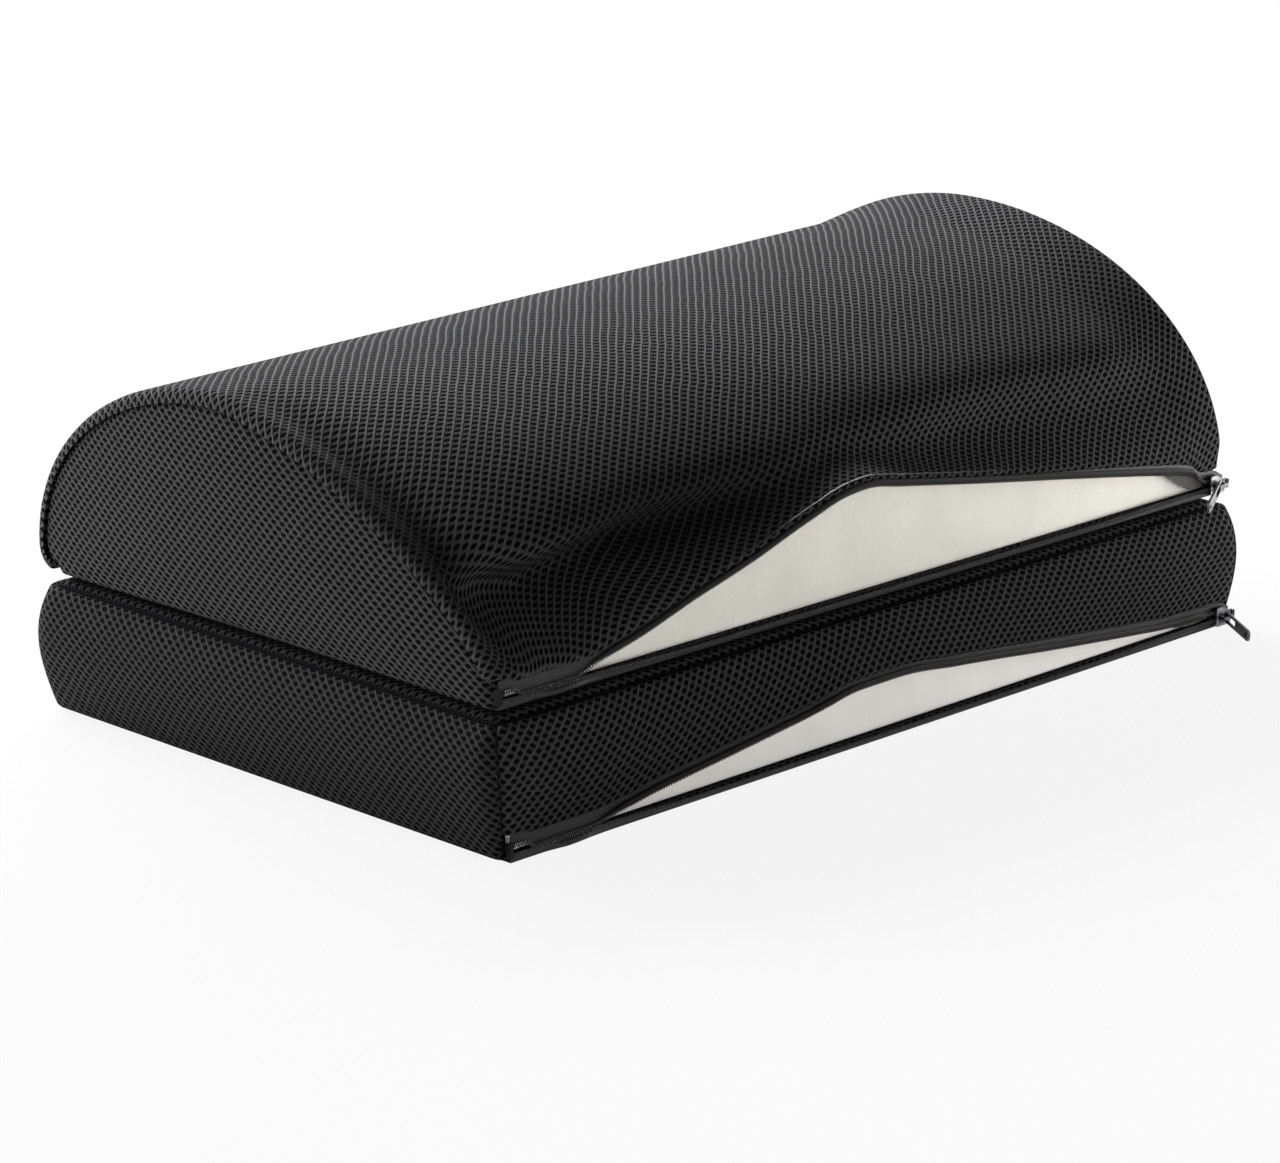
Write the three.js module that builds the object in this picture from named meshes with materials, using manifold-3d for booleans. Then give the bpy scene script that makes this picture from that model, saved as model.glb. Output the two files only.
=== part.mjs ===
// Two-part foam foot cushion: a half-round upper cushion on a rectangular base cushion.
// Each has a foam core in a sewn cover of spacer mesh, and both long front zips are open.
// Millimetres. X runs along the cushion, the zips face -Y, Z is up, and the base stands on Z = 0.
import * as THREE from 'three';
import { mergeVertices } from 'three/addons/utils/BufferGeometryUtils.js';
import Module from 'manifold-3d';

const wasm = await Module();
wasm.setup();

// Driving dimensions of the two cushions
const cushionLength = 450;
const cushionDepth = 275;
const baseHeight = 57;
const upperHeightLeft = 96.5;
const upperHeightRight = 110;
const endHumpHeight = 5;
const endHumpLength = 45;
const coverThickness = 3;
const seamGap = 0.3;
const coreSlack = 1.5;

// Base cushion. Its front leans out towards its foot, where the open zip lets the core spread.
const frontCornerRadius = 5;
const backCornerRadius = 8;
const sideBulge = 8;
const frontBulge = 6;
const footSpread = 3;
const lipFlare = 9;
const coreEdgeRadius = 2;

// Half-round profile of the upper cushion
const crestBackLeft = 24.5;
const crestBackRight = 12.5;
const backOverhangLeft = 7.4;
const backOverhangRight = 7.4;
const profileAxisHeight = 12;
const backHemRadius = 10;
const hemFootGap = 1.2;
const upperLipFlare = 3;
const endPanelDome = 3;
const endPanelGap = 0.9;

// Power of the profile's front half: 2 is a plain ellipse, and less is flatter
const frontPowerLeft = 1.42;
const frontPowerRight = 2;
const frontPowerRun = 80;
const lipFlarePower = 6;

// Hook and loop strips between the cushions
const stripWidth = 25;
const stripLength = 380;
const stripThickness = 1;
const stripSpacing = 140;

// Zip chain: two tapes, each with a row of teeth along its edge
const tapeThickness = 0.6;
const tapeReturn = 2.5;
const toothPitch = 2.4;
const toothRise = 0.45;
const toothGap = 0.4;
const coilDepth = 2;
const coilThickness = 1.6;
const coilOverlap = 1.1;
const tapeReach = 4.4;
const chainHeight = 4.5;
const upperZipSetback = 3;
const chainEndMargin = 4;
const stopWidth = 2;

// The open stretch: how much stays joined at the left, how high a lip stands when it hangs out
// fully, and where the rows part and meet inside a slider, from its middle
const joinedLength = 43;
const openHeight = 20;
const dividerSetback = 1;
const meetingSetback = 3.5;

// Zip slider and its pull
const sliderLength = 10;
const sliderEndMargin = 7.5;
const wingThickness = 1;
const flangeThickness = 0.8;
const runningClearance = 0.3;
const dividerWidth = 1.2;
const dividerLength = 2.8;
const bridgeWidth = 1.4;
const bridgeThickness = 1;
const bridgeSpan = 6.6;
const bridgeCorner = 0.8;
const wingCorner = 1.2;
const wideShare = 0.45;
const flangeInset = 1;
const pullLength = 23;
const pullWidth = 5;
const pullThickness = 1.2;
const pullBarWidth = 4.4;
const pullBarClearance = 0.75;
const pullEyeLength = 9;
const pullEyeWidth = 3.2;
const pullTipHole = 2;
const pullTipMargin = 1;
const pullCorner = 1.2;
const pullTaper = 2.4;
const basePullDroop = 8;
const upperPullDroop = 14;
const basePullTurn = -25;
const upperPullTurn = -66;

// Heights and planes that follow from them
const halfLength = cushionLength / 2;
const halfDepth = cushionDepth / 2;
const interlayer = 2 * stripThickness + 3 * seamGap;
const upperFloor = baseHeight + interlayer;
const frontZipPlane = -halfDepth - footSpread;
const upperZipPlane = -halfDepth + upperZipSetback;
const rimOffset = (coverThickness + tapeThickness) / 2;
const sliderRestX = halfLength - sliderEndMargin;
const sliderLimitX = -halfLength + sliderEndMargin + chainEndMargin;
const chainStartX = -halfLength + chainEndMargin;
const splitOffset = dividerWidth + 2 * runningClearance + toothRise * 2 - toothGap / 2;

// Materials, one per finish
const finishes = {
  mesh: new THREE.MeshStandardMaterial({ color: 0x1b1b1c, roughness: 0.9, metalness: 0 }),
  endMesh: new THREE.MeshStandardMaterial({ color: 0x202021, roughness: 0.9, metalness: 0 }),
  foam: new THREE.MeshStandardMaterial({ color: 0xdad7cf, roughness: 0.95, metalness: 0 }),
  tape: new THREE.MeshStandardMaterial({ color: 0x242425, roughness: 0.7, metalness: 0 }),
  nylon: new THREE.MeshStandardMaterial({ color: 0x151516, roughness: 0.45, metalness: 0 }),
  metal: new THREE.MeshStandardMaterial({ color: 0x3a3a3c, roughness: 0.35, metalness: 0.9 }),
  hookLoop: new THREE.MeshStandardMaterial({ color: 0x101011, roughness: 0.95, metalness: 0 }),
};

// Smooth curve through a few (position, value) keys, with no overshoot between them
function throughKeys(keys, at) {
  const last = keys.length - 1;
  if (at <= keys[0][0]) return keys[0][1];
  if (at >= keys[last][0]) return keys[last][1];
  const slopes = [];
  for (let i = 0; i < last; i++) {
    slopes.push((keys[i + 1][1] - keys[i][1]) / (keys[i + 1][0] - keys[i][0]));
  }
  const tangentAt = (i) => {
    if (i === 0 || i === last) return 0;
    if (slopes[i - 1] * slopes[i] <= 0) return 0;
    return (2 * slopes[i - 1] * slopes[i]) / (slopes[i - 1] + slopes[i]);
  };
  let i = 0;
  while (at > keys[i + 1][0]) i++;
  const span = keys[i + 1][0] - keys[i][0];
  const t = (at - keys[i][0]) / span;
  const rise = t * t * (3 - 2 * t);
  const startPull = t * (1 - t) * (1 - t) * span * tangentAt(i);
  const endPull = t * t * (t - 1) * span * tangentAt(i + 1);
  return keys[i][1] * (1 - rise) + keys[i + 1][1] * rise + startPull + endPull;
}

const evenly = (count, from, to) => Array.from({ length: count + 1 }, (_, i) => from + ((to - from) * i) / count);
const smooth = (t) => t * t * (3 - 2 * t);
const clamp01 = (t) => Math.min(1, Math.max(0, t));
const { lerp, degToRad, radToDeg } = THREE.MathUtils;
const lengthShare = (x) => (x + halfLength) / cushionLength;

// Turns a list of triangles into a geometry whose faces point out
function geometryOf(points, triangles) {
  let volume = 0;
  for (const [a, b, c] of triangles) {
    volume += points[a].dot(new THREE.Vector3().crossVectors(points[b], points[c]));
  }
  const order = volume < 0 ? ([a, b, c]) => [a, c, b] : (t) => t;
  const geometry = new THREE.BufferGeometry();
  geometry.setAttribute('position', new THREE.Float32BufferAttribute(points.flatMap((p) => p.toArray()), 3));
  geometry.setIndex(triangles.flatMap(order));
  return geometry;
}

// Closed solid between two facing grids of points
function solidBetween(front, back) {
  const rows = front.length;
  const columns = front[0].length;
  const points = [...front.flat(), ...back.flat()];
  const offset = rows * columns;
  const triangles = [];
  const quad = (a, b, c, d) => triangles.push([a, b, c], [a, c, d]);
  for (let i = 0; i < rows - 1; i++) {
    for (let j = 0; j < columns - 1; j++) {
      const a = i * columns + j;
      quad(a, a + 1, a + columns + 1, a + columns);
      quad(offset + a, offset + a + columns, offset + a + columns + 1, offset + a + 1);
    }
  }
  for (let j = 0; j < columns - 1; j++) {
    const end = (rows - 1) * columns + j;
    quad(j, offset + j, offset + j + 1, j + 1);
    quad(end, end + 1, offset + end + 1, offset + end);
  }
  for (let i = 0; i < rows - 1; i++) {
    const a = i * columns;
    const end = a + columns - 1;
    quad(a, a + columns, offset + a + columns, offset + a);
    quad(end, offset + end, offset + end + columns, end + columns);
  }
  return geometryOf(points, triangles);
}

// Loft through closed sections with the same number of points, capped at both ends
function loft(sections) {
  const count = sections[0].length;
  const points = sections.flat();
  const triangles = [];
  for (let i = 0; i < sections.length - 1; i++) {
    for (let j = 0; j < count; j++) {
      const a = i * count + j;
      const b = i * count + ((j + 1) % count);
      triangles.push([a, b, b + count], [a, b + count, a + count]);
    }
  }
  const middleOf = (section) => section.reduce((sum, p) => sum.add(p), new THREE.Vector3()).divideScalar(count);
  const first = points.push(middleOf(sections[0])) - 1;
  const last = points.push(middleOf(sections[sections.length - 1])) - 1;
  const lastRow = (sections.length - 1) * count;
  for (let j = 0; j < count; j++) {
    const next = (j + 1) % count;
    triangles.push([first, next, j], [last, lastRow + j, lastRow + next]);
  }
  return geometryOf(points, triangles);
}

function manifoldOf(geometry) {
  const bare = new THREE.BufferGeometry();
  bare.setAttribute('position', geometry.getAttribute('position'));
  if (geometry.index) bare.setIndex(geometry.index);
  const merged = mergeVertices(bare, 1e-4);
  return new wasm.Manifold(new wasm.Mesh({
    numProp: 3,
    vertProperties: new Float32Array(merged.getAttribute('position').array),
    triVerts: new Uint32Array(merged.index.array),
  }));
}

function fromManifold(solid) {
  const mesh = solid.getMesh();
  const geometry = new THREE.BufferGeometry();
  geometry.setAttribute('position', new THREE.BufferAttribute(mesh.vertProperties, 3));
  geometry.setIndex(new THREE.BufferAttribute(mesh.triVerts, 1));
  return geometry;
}

const joined = (parts) => fromManifold(parts.map(manifoldOf).reduce((sum, part) => sum.add(part)));

function box(xRange, yRange, zRange) {
  const size = [xRange, yRange, zRange].map(([low, high]) => high - low);
  const middle = [xRange, yRange, zRange].map(([low, high]) => (high + low) / 2);
  return new THREE.BoxGeometry(...size).translate(...middle);
}

// Cushion outline in plan, one side at a time, with the seams at the middle of the corner arcs
const cornerSteps = 3;

function cornerArc(signX, signY, fullRadius, fromDegrees, toDegrees, inset) {
  const radius = Math.max(fullRadius - inset, 1);
  const centre = [signX * (halfLength - inset - radius), signY * (halfDepth - inset - radius)];
  return evenly(cornerSteps, fromDegrees, toDegrees).map((degrees) => {
    const angle = degToRad(degrees);
    const normal = new THREE.Vector3(Math.cos(angle), Math.sin(angle), 0);
    return { at: new THREE.Vector3(centre[0], centre[1], 0).addScaledVector(normal, radius), normal };
  });
}

function sidePath(side, steps, inset = 0) {
  const front = frontCornerRadius;
  const back = backCornerRadius;
  const trim = radToDeg(seamGap / 2 / front);
  const ends = {
    left: [cornerArc(-1, -1, front, 225 - trim, 180, inset), cornerArc(-1, 1, back, 180, 135 + trim, inset)],
    right: [cornerArc(1, -1, front, 315 + trim, 360, inset), cornerArc(1, 1, back, 0, 45 - trim, inset)],
    front: [cornerArc(-1, -1, front, 225 + trim, 270, inset), cornerArc(1, -1, front, 270, 315 - trim, inset)],
    back: [cornerArc(-1, 1, back, 135 - trim, 90, inset), cornerArc(1, 1, back, 90, 45 + trim, inset)],
  }[side];
  const from = ends[0][cornerSteps];
  const to = ends[1][0];
  const straight = evenly(steps, 0, 1).slice(1, -1).map((t) => ({
    at: new THREE.Vector3().lerpVectors(from.at, to.at, t),
    normal: from.normal,
  }));
  return [...ends[0], ...straight, ...ends[1]];
}

function planOutline(inset) {
  return ['front', 'right', 'back', 'left'].flatMap((side) => {
    const path = sidePath(side, 1, inset);
    return side === 'front' || side === 'right' ? path : [...path].reverse();
  }).map(({ at }) => new THREE.Vector2(at.x, at.y));
}

// The rows of teeth step in the same places, so each fills the other's gaps where they meet
const toothCount = Math.floor((halfLength - chainStartX) / toothPitch);
const toothX = (step) => chainStartX + (step * toothPitch) / 2;

// Stations that the upper teeth, their tape and the cover's lip share, closer near the ends
const fineSteps = 4;
const wideSteps = 14;
const chainSteps = [];
for (let step = 0; step < 2 * toothCount; ) {
  chainSteps.push(step);
  const nearEnd = Math.abs(toothX(step + wideSteps)) > sliderRestX - 2 * sliderLength;
  step += nearEnd ? fineSteps : wideSteps;
}
chainSteps.push(2 * toothCount);
const chainX = chainSteps.map(toothX);

// Straight spans between the stations' values, so that all who share them run exactly alike
function chained(valueAt) {
  let keys = null;
  return (x) => {
    keys = keys || chainX.map((station) => [station, valueAt(station)]);
    let i = 0;
    while (i < keys.length - 2 && x > keys[i + 1][0]) i++;
    const t = clamp01((x - keys[i][0]) / (keys[i + 1][0] - keys[i][0]));
    return lerp(keys[i][1], keys[i + 1][1], t);
  };
}

// How far the upper teeth stand above the lower ones along the opening. The rows part round the
// slider's divider at both ends, and meet behind it.
const openingStartX = -halfLength + joinedLength;
const openingEndX = sliderRestX - sliderLength / 2 - dividerSetback;

function openingKeys(shape, atSplit, atMeeting) {
  return [
    [chainStartX, atSplit],
    [sliderLimitX - dividerSetback, atSplit],
    [sliderLimitX + meetingSetback, atMeeting],
    [openingStartX, atMeeting],
    ...shape.map(([share, rise]) => [lerp(openingStartX, openingEndX, share), rise]),
    [openingEndX, atSplit],
    [sliderRestX - dividerSetback, atSplit],
    [sliderRestX + meetingSetback, atMeeting],
  ];
}

// Rise of each lip, by share of the open stretch
const baseOpening = [
  [0.06, 3.8],
  [0.09, 6.5],
  [0.19, 12.8],
  [0.29, 19.2],
  [0.38, 25.2],
  [0.44, 25.4],
  [0.53, 22],
  [0.71, 12.8],
  [0.82, 7.6],
  [0.86, 5.8],
  [0.92, 3.4],
];
const upperOpening = [
  [0.03, 3.6],
  [0.09, 9.6],
  [0.17, 19.8],
  [0.25, 28.4],
  [0.33, 38.2],
  [0.39, 44.2],
  [0.42, 45],
  [0.47, 42],
  [0.6, 33.5],
  [0.78, 22.2],
  [0.9, 14],
  [0.97, 8.6],
];

// Hollow fold above the upper mouth, as the slack cover hangs: its depth, its height above the
// lip and half its height, by share of the cushion's length
const foldDepth = [
  [0, 0],
  [0.024, 0],
  [0.044, 11],
  [0.067, 24],
  [0.111, 31],
  [0.167, 32],
  [0.244, 22],
  [0.333, 15],
  [0.422, 12],
  [0.556, 9],
  [0.689, 7],
  [0.802, 5],
  [0.922, 2.5],
  [0.976, 0],
  [1, 0],
];
const foldRise = [
  [0, 19],
  [0.093, 18],
  [0.184, 16],
  [0.256, 15],
  [0.324, 17],
  [0.422, 21],
  [0.551, 32],
  [0.689, 34],
  [0.802, 39],
  [0.92, 48],
  [1, 50],
];
const foldHalfHeight = [
  [0, 12],
  [0.167, 13],
  [0.422, 13],
  [0.689, 16],
  [1, 18],
];

// One zip: its plane, its floor, the run of its upper teeth, and how far they hang out
function makeZip(name, plane, floor, opening, outAt) {
  const teethKeys = openingKeys(opening, splitOffset, 0);
  const lipKeys = openingKeys(opening, splitOffset, splitOffset / 2);
  const level = floor + chainHeight;
  return {
    name,
    plane,
    floor,
    level,
    rise: chained((x) => throughKeys(teethKeys, x)),
    coverEdge: chained((x) => level + throughKeys(lipKeys, x) + tapeReach),
    openness: (x) => clamp01((throughKeys(teethKeys, x) - splitOffset) / openHeight),
    out: chained(outAt),
  };
}

const baseZip = makeZip('base_zip', frontZipPlane, 0, baseOpening, (x) => lipFlare * baseZip.openness(x));
const upperZip = makeZip('upper_zip', upperZipPlane, upperFloor, upperOpening, (x) => (
  upperLipFlare * upperZip.openness(x)
));

// Upper cushion: half-round section, flatter at the front left, with a hollow fold in front
function upperSection(x, angle) {
  const share = lengthShare(x);
  const height = lerp(upperHeightLeft, upperHeightRight, share)
    + endHumpHeight * smooth(clamp01(1 - (halfLength - x) / endHumpLength));
  const crestY = lerp(crestBackLeft, crestBackRight, share);
  const axis = upperFloor + profileAxisHeight;
  const isFront = Math.cos(angle) < 0;
  const reach = isFront
    ? crestY - (upperZipPlane - rimOffset)
    : halfDepth + lerp(backOverhangLeft, backOverhangRight, share) - crestY;
  const power = isFront
    ? lerp(frontPowerLeft, frontPowerRight, smooth(clamp01((x + halfLength) / frontPowerRun)))
    : 2;
  const side = Math.pow(Math.abs(Math.cos(angle)), 2 / power) * Math.sign(Math.cos(angle));
  const up = Math.pow(Math.max(0, Math.sin(angle)), 2 / power);
  const point = new THREE.Vector3(x, crestY + reach * side, axis + (height - profileAxisHeight) * up);
  if (isFront) {
    const fromFold = point.z - upperZip.coverEdge(x) - throughKeys(foldRise, share);
    point.y += throughKeys(foldDepth, share) * Math.exp(-((fromFold / throughKeys(foldHalfHeight, share)) ** 2));
  }
  return point;
}

function angleAtHeight(x, height) {
  let high = Math.PI / 2;
  let low = Math.PI;
  for (let i = 0; i < 30; i++) {
    const middle = (high + low) / 2;
    if (upperSection(x, middle).z > height) high = middle;
    else low = middle;
  }
  return (high + low) / 2;
}

const lipAngle = (x) => angleAtHeight(x, upperZip.coverEdge(x));

// How far the cover's front has to come forward for its lip to meet the tape
const upperFlare = (x) => upperSection(x, lipAngle(x)).y - (upperZipPlane - rimOffset - upperZip.out(x));

// Section of the half-round cover: its back hem, then its arc over the crest to the front lip
const hemSteps = 3;
const backSteps = 5;
const frontSteps = 11;

function coverRow(x) {
  const backEdge = upperSection(x, 0);
  const hem = evenly(hemSteps, -90, 0).slice(0, -1).map((degrees) => new THREE.Vector3(
    x,
    backEdge.y - backHemRadius + backHemRadius * Math.cos(degToRad(degrees)),
    backEdge.z + profileAxisHeight * Math.sin(degToRad(degrees)),
  ));
  const lip = lipAngle(x);
  const flare = upperFlare(x);
  const angles = [...evenly(backSteps, 0, Math.PI / 2), ...evenly(frontSteps, Math.PI / 2, lip).slice(1)];
  const arc = angles.map((angle) => {
    const point = upperSection(x, angle);
    const nearLip = clamp01((angle - Math.PI / 2) / (lip - Math.PI / 2));
    point.y -= flare * nearLip ** lipFlarePower;
    return point;
  });
  return [...hem, ...arc];
}

// Moves a section inward, square to itself; its hem stays upright and its lip level
function insetRow(row, distance) {
  const last = row.length - 1;
  const inward = row.map((_, i) => {
    const tangent = new THREE.Vector3().subVectors(row[Math.min(i + 1, last)], row[Math.max(i - 1, 0)]);
    return new THREE.Vector3(0, -tangent.z, tangent.y).normalize();
  });
  inward[0].set(0, 0, 1);
  inward[last].set(0, 1, 0);
  return row.map((p, i) => p.clone().addScaledVector(inward[i], distance));
}

const coverStations = [-halfLength, ...chainX, halfLength];

function upperCoverTop() {
  const outer = coverStations.map(coverRow);
  return solidBetween(outer, outer.map((row) => insetRow(row, coverThickness)));
}

// Front of the foam and of the end panels, below the cover's lip
const coreFront = upperZipPlane + tapeReturn;
const hemFoot = (x) => upperSection(x, 0).y - backHemRadius - hemFootGap;

function innerProfile(x, inset, floor) {
  const arc = insetRow(coverRow(x), inset);
  for (const point of arc) point.y = Math.max(point.y, coreFront);
  return [new THREE.Vector3(x, hemFoot(x), floor), ...arc, new THREE.Vector3(x, coreFront, floor)];
}

const endPanelRings = [0.12, 0.45, 0.75, 1];
const endPanelInner = halfLength - endPanelDome - coverThickness - seamGap;

function upperFoamCore() {
  const reach = endPanelInner - seamGap;
  const floor = upperFloor + coverThickness + seamGap;
  const between = coverStations.filter((x) => Math.abs(x) < reach - coreSlack);
  return loft([-reach, ...between, reach].map((x) => innerProfile(x, coverThickness + coreSlack, floor)));
}

function upperEndPanel(side) {
  const edgeX = side * (halfLength - endPanelDome);
  const outline = innerProfile(edgeX, coverThickness + endPanelGap, upperFloor);
  const top = Math.max(...outline.map((p) => p.z));
  const centre = new THREE.Vector3(edgeX, 0, (upperFloor + top) / 2);
  const ring = (share) => outline.map((p) => {
    const point = new THREE.Vector3().lerpVectors(centre, p, share);
    point.x += side * endPanelDome * (1 - share ** 2);
    return point;
  });
  const shift = new THREE.Vector3(-side * coverThickness, 0, 0);
  const faces = endPanelRings.map(ring);
  const backs = faces.map((row) => row.map((p) => p.clone().add(shift))).reverse();
  return loft([...faces, ...backs]);
}

function flatPanel(outline, floor) {
  const panel = new THREE.ExtrudeGeometry(new THREE.Shape(outline), { depth: coverThickness, bevelEnabled: false });
  return panel.translate(0, 0, floor);
}

function upperCoverBottom() {
  const x = endPanelInner - seamGap;
  return flatPanel([
    new THREE.Vector2(-x, coreFront),
    new THREE.Vector2(x, coreFront),
    new THREE.Vector2(x, hemFoot(x)),
    new THREE.Vector2(-x, hemFoot(-x)),
  ], upperFloor);
}

// Base cushion: its bottom panel ends where the tape's fold meets it
const withFrontMoved = (outline, shift) => outline.map((p) => new THREE.Vector2(p.x, p.y < 0 ? p.y + shift : p.y));

const baseBottomPanel = () => flatPanel(withFrontMoved(planOutline(0), tapeReturn - footSpread), 0);

const sideTop = baseHeight - coverThickness - seamGap;
const sideBottom = coverThickness + seamGap;

function spreadAt(y, z) {
  return footSpread * clamp01(-y / halfDepth) * ((sideTop - z) / (sideTop - sideBottom));
}

function baseSidePanel(side) {
  const path = sidePath(side, 8);
  const outer = path.map(({ at, normal }) => evenly(5, 0, 1).map((v) => {
    const point = at.clone().addScaledVector(normal, sideBulge * Math.sin(Math.PI * v));
    point.z = lerp(sideBottom, sideTop, v);
    point.y -= spreadAt(point.y, point.z);
    return point;
  }));
  const inner = outer.map((row, i) => row.map((p) => p.clone().addScaledVector(path[i].normal, -coverThickness)));
  return solidBetween(outer, inner);
}

function baseFrontPanel() {
  const corners = sidePath('front', 1);
  const straight = chainX.filter((x) => Math.abs(x) < halfLength - frontCornerRadius);
  const path = [
    ...corners.slice(0, cornerSteps + 1),
    ...straight.map((x) => ({ at: new THREE.Vector3(x, -halfDepth, 0), normal: new THREE.Vector3(0, -1, 0) })),
    ...corners.slice(cornerSteps + 1),
  ];
  const outer = path.map(({ at, normal }) => {
    const lipZ = baseZip.coverEdge(at.x);
    const lipOut = footSpread + rimOffset + baseZip.out(at.x) - spreadAt(-halfDepth, lipZ);
    return evenly(6, 0, 1).map((v) => {
      const point = at.clone().addScaledVector(normal, frontBulge * Math.sin(Math.PI * v) + lipOut * (1 - v) ** 2);
      point.z = lerp(lipZ, sideTop, v);
      point.y -= spreadAt(at.y, point.z);
      return point;
    });
  });
  const inner = outer.map((row, i) => row.map((p) => p.clone().addScaledVector(path[i].normal, -coverThickness)));
  return solidBetween(outer, inner);
}

function baseFoamCore() {
  const outline = withFrontMoved(planOutline(coverThickness + coreSlack + coreEdgeRadius), seamGap - coreSlack);
  const height = sideTop - sideBottom - 2 * seamGap;
  const core = new THREE.ExtrudeGeometry(new THREE.Shape(outline), {
    depth: height - 2 * coreEdgeRadius,
    bevelEnabled: true,
    bevelThickness: coreEdgeRadius,
    bevelSize: coreEdgeRadius,
    bevelSegments: 3,
  });
  return core.translate(0, 0, sideBottom + seamGap + coreEdgeRadius);
}

function strip(y, floor) {
  return box(
    [-stripLength / 2, stripLength / 2],
    [y - stripWidth / 2, y + stripWidth / 2],
    [floor, floor + stripThickness],
  );
}

// Zip tapes. The lower one turns back under itself to the bottom panel's edge.
const coilBack = tapeThickness + seamGap;
const tapeEdge = coilDepth - coilOverlap;

function lowerTape(zip) {
  const front = zip.plane - tapeThickness;
  const back = zip.plane + tapeReturn - seamGap;
  const low = zip.floor + seamGap;
  const top = zip.level - tapeEdge;
  const section = new THREE.Shape([
    new THREE.Vector2(front, low),
    new THREE.Vector2(back, low),
    new THREE.Vector2(back, low + tapeThickness),
    new THREE.Vector2(zip.plane, low + tapeThickness),
    new THREE.Vector2(zip.plane, top),
    new THREE.Vector2(front, top),
  ]);
  const length = halfLength - chainStartX;
  const tape = new THREE.ExtrudeGeometry(section, { depth: length, bevelEnabled: false });
  const turn = new THREE.Matrix4().makeBasis(
    new THREE.Vector3(0, 1, 0),
    new THREE.Vector3(0, 0, 1),
    new THREE.Vector3(1, 0, 0),
  );
  return tape.applyMatrix4(turn).translate(chainStartX, 0, 0);
}

function upperTape(zip) {
  return loft([...chainX, halfLength].map((x) => {
    const front = zip.plane - zip.out(x) - tapeThickness;
    const low = zip.level + zip.rise(x) + tapeEdge;
    const top = zip.coverEdge(x) - seamGap;
    return [
      new THREE.Vector3(x, front, low),
      new THREE.Vector3(x, front + tapeThickness, low),
      new THREE.Vector3(x, front + tapeThickness, top),
      new THREE.Vector3(x, front, top),
    ];
  }));
}

function lowerTeeth(zip) {
  const outline = [];
  for (let step = 0; step <= 2 * toothCount; step++) {
    const side = step % 2 ? 1 : -1;
    outline.push(new THREE.Vector2(toothX(step), zip.level - toothGap / 2 + side * toothRise));
  }
  outline.push(new THREE.Vector2(toothX(2 * toothCount), zip.level - coilDepth));
  outline.push(new THREE.Vector2(toothX(0), zip.level - coilDepth));
  const teeth = new THREE.ExtrudeGeometry(new THREE.Shape(outline), { depth: coilThickness, bevelEnabled: false });
  return teeth.rotateX(Math.PI / 2).translate(0, zip.plane - coilBack, 0);
}

// The upper row follows its tape, so its back edge has a point at each shared station
function upperTeeth(zip) {
  const points = [];
  const triangles = [];
  const place = (step, offset) => {
    const x = toothX(step);
    const front = zip.plane - zip.out(x) - coilBack;
    const z = zip.level + zip.rise(x) + offset;
    points.push(new THREE.Vector3(x, front, z), new THREE.Vector3(x, front - coilThickness, z));
    return points.length - 2;
  };
  const tips = [];
  for (let step = 0; step <= 2 * toothCount; step++) {
    tips.push(place(step, toothGap / 2 + (step % 2 ? 1 : -1) * toothRise));
  }
  const backs = chainSteps.map((step) => place(step, coilDepth));
  const wall = (a, b) => triangles.push([a, b, b + 1], [a, b + 1, a + 1]);
  const face = (a, b, c) => triangles.push([a, c, b], [a + 1, b + 1, c + 1]);
  for (let span = 0; span < chainSteps.length - 1; span++) {
    const from = chainSteps[span];
    const to = chainSteps[span + 1];
    const middle = Math.round((from + to) / 2);
    wall(backs[span + 1], backs[span]);
    for (let i = from; i < to; i++) {
      wall(tips[i], tips[i + 1]);
      face(tips[i], tips[i + 1], backs[i < middle ? span : span + 1]);
    }
    face(tips[middle], backs[span + 1], backs[span]);
  }
  wall(backs[0], tips[0]);
  wall(tips[tips.length - 1], backs[backs.length - 1]);
  return geometryOf(points, triangles);
}

// Metal end stops just past both ends of the teeth
function endStop(zip, x, direction) {
  const edge = x + direction * seamGap;
  const span = [Math.min(edge, edge + direction * stopWidth), Math.max(edge, edge + direction * stopWidth)];
  const front = zip.plane - coilBack - coilThickness;
  const top = zip.level + coilDepth + (direction < 0 ? splitOffset : 0);
  return box(span, [front, zip.plane], [zip.level - coilDepth, top]);
}

// Slider: two wings joined by a divider post, flanges round the front wing, and a bridge for the pull
const wingGap = coilBack + coilThickness + runningClearance;
const sliderBottom = -coilDepth - runningClearance - flangeThickness;
const sliderTop = splitOffset + coilDepth + runningClearance + flangeThickness;
const sliderMiddle = (sliderBottom + sliderTop) / 2;
const rearTop = coilDepth + 2 * runningClearance + flangeThickness;

function wingShape() {
  const front = -sliderLength / 2;
  const rear = sliderLength / 2;
  const corner = wingCorner;
  const shape = new THREE.Shape();
  shape.moveTo(front + corner, sliderBottom);
  shape.lineTo(rear - corner, sliderBottom);
  shape.quadraticCurveTo(rear, sliderBottom, rear, sliderBottom + corner);
  shape.lineTo(rear, rearTop - corner);
  shape.quadraticCurveTo(rear, rearTop, rear - corner, rearTop);
  shape.lineTo(front + sliderLength * wideShare, sliderTop);
  shape.lineTo(front + corner, sliderTop);
  shape.quadraticCurveTo(front, sliderTop, front, sliderTop - corner);
  shape.lineTo(front, sliderBottom + corner);
  shape.quadraticCurveTo(front, sliderBottom, front + corner, sliderBottom);
  return shape;
}

// Shapes of the slider are drawn in X and Z; this stands them in the zip's plane, facing -Y
function standing(shape, from, to, curveSegments = 3) {
  const solid = new THREE.ExtrudeGeometry(shape, { depth: to - from, bevelEnabled: false, curveSegments });
  return solid.rotateX(Math.PI / 2).translate(0, -from, 0);
}

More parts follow.
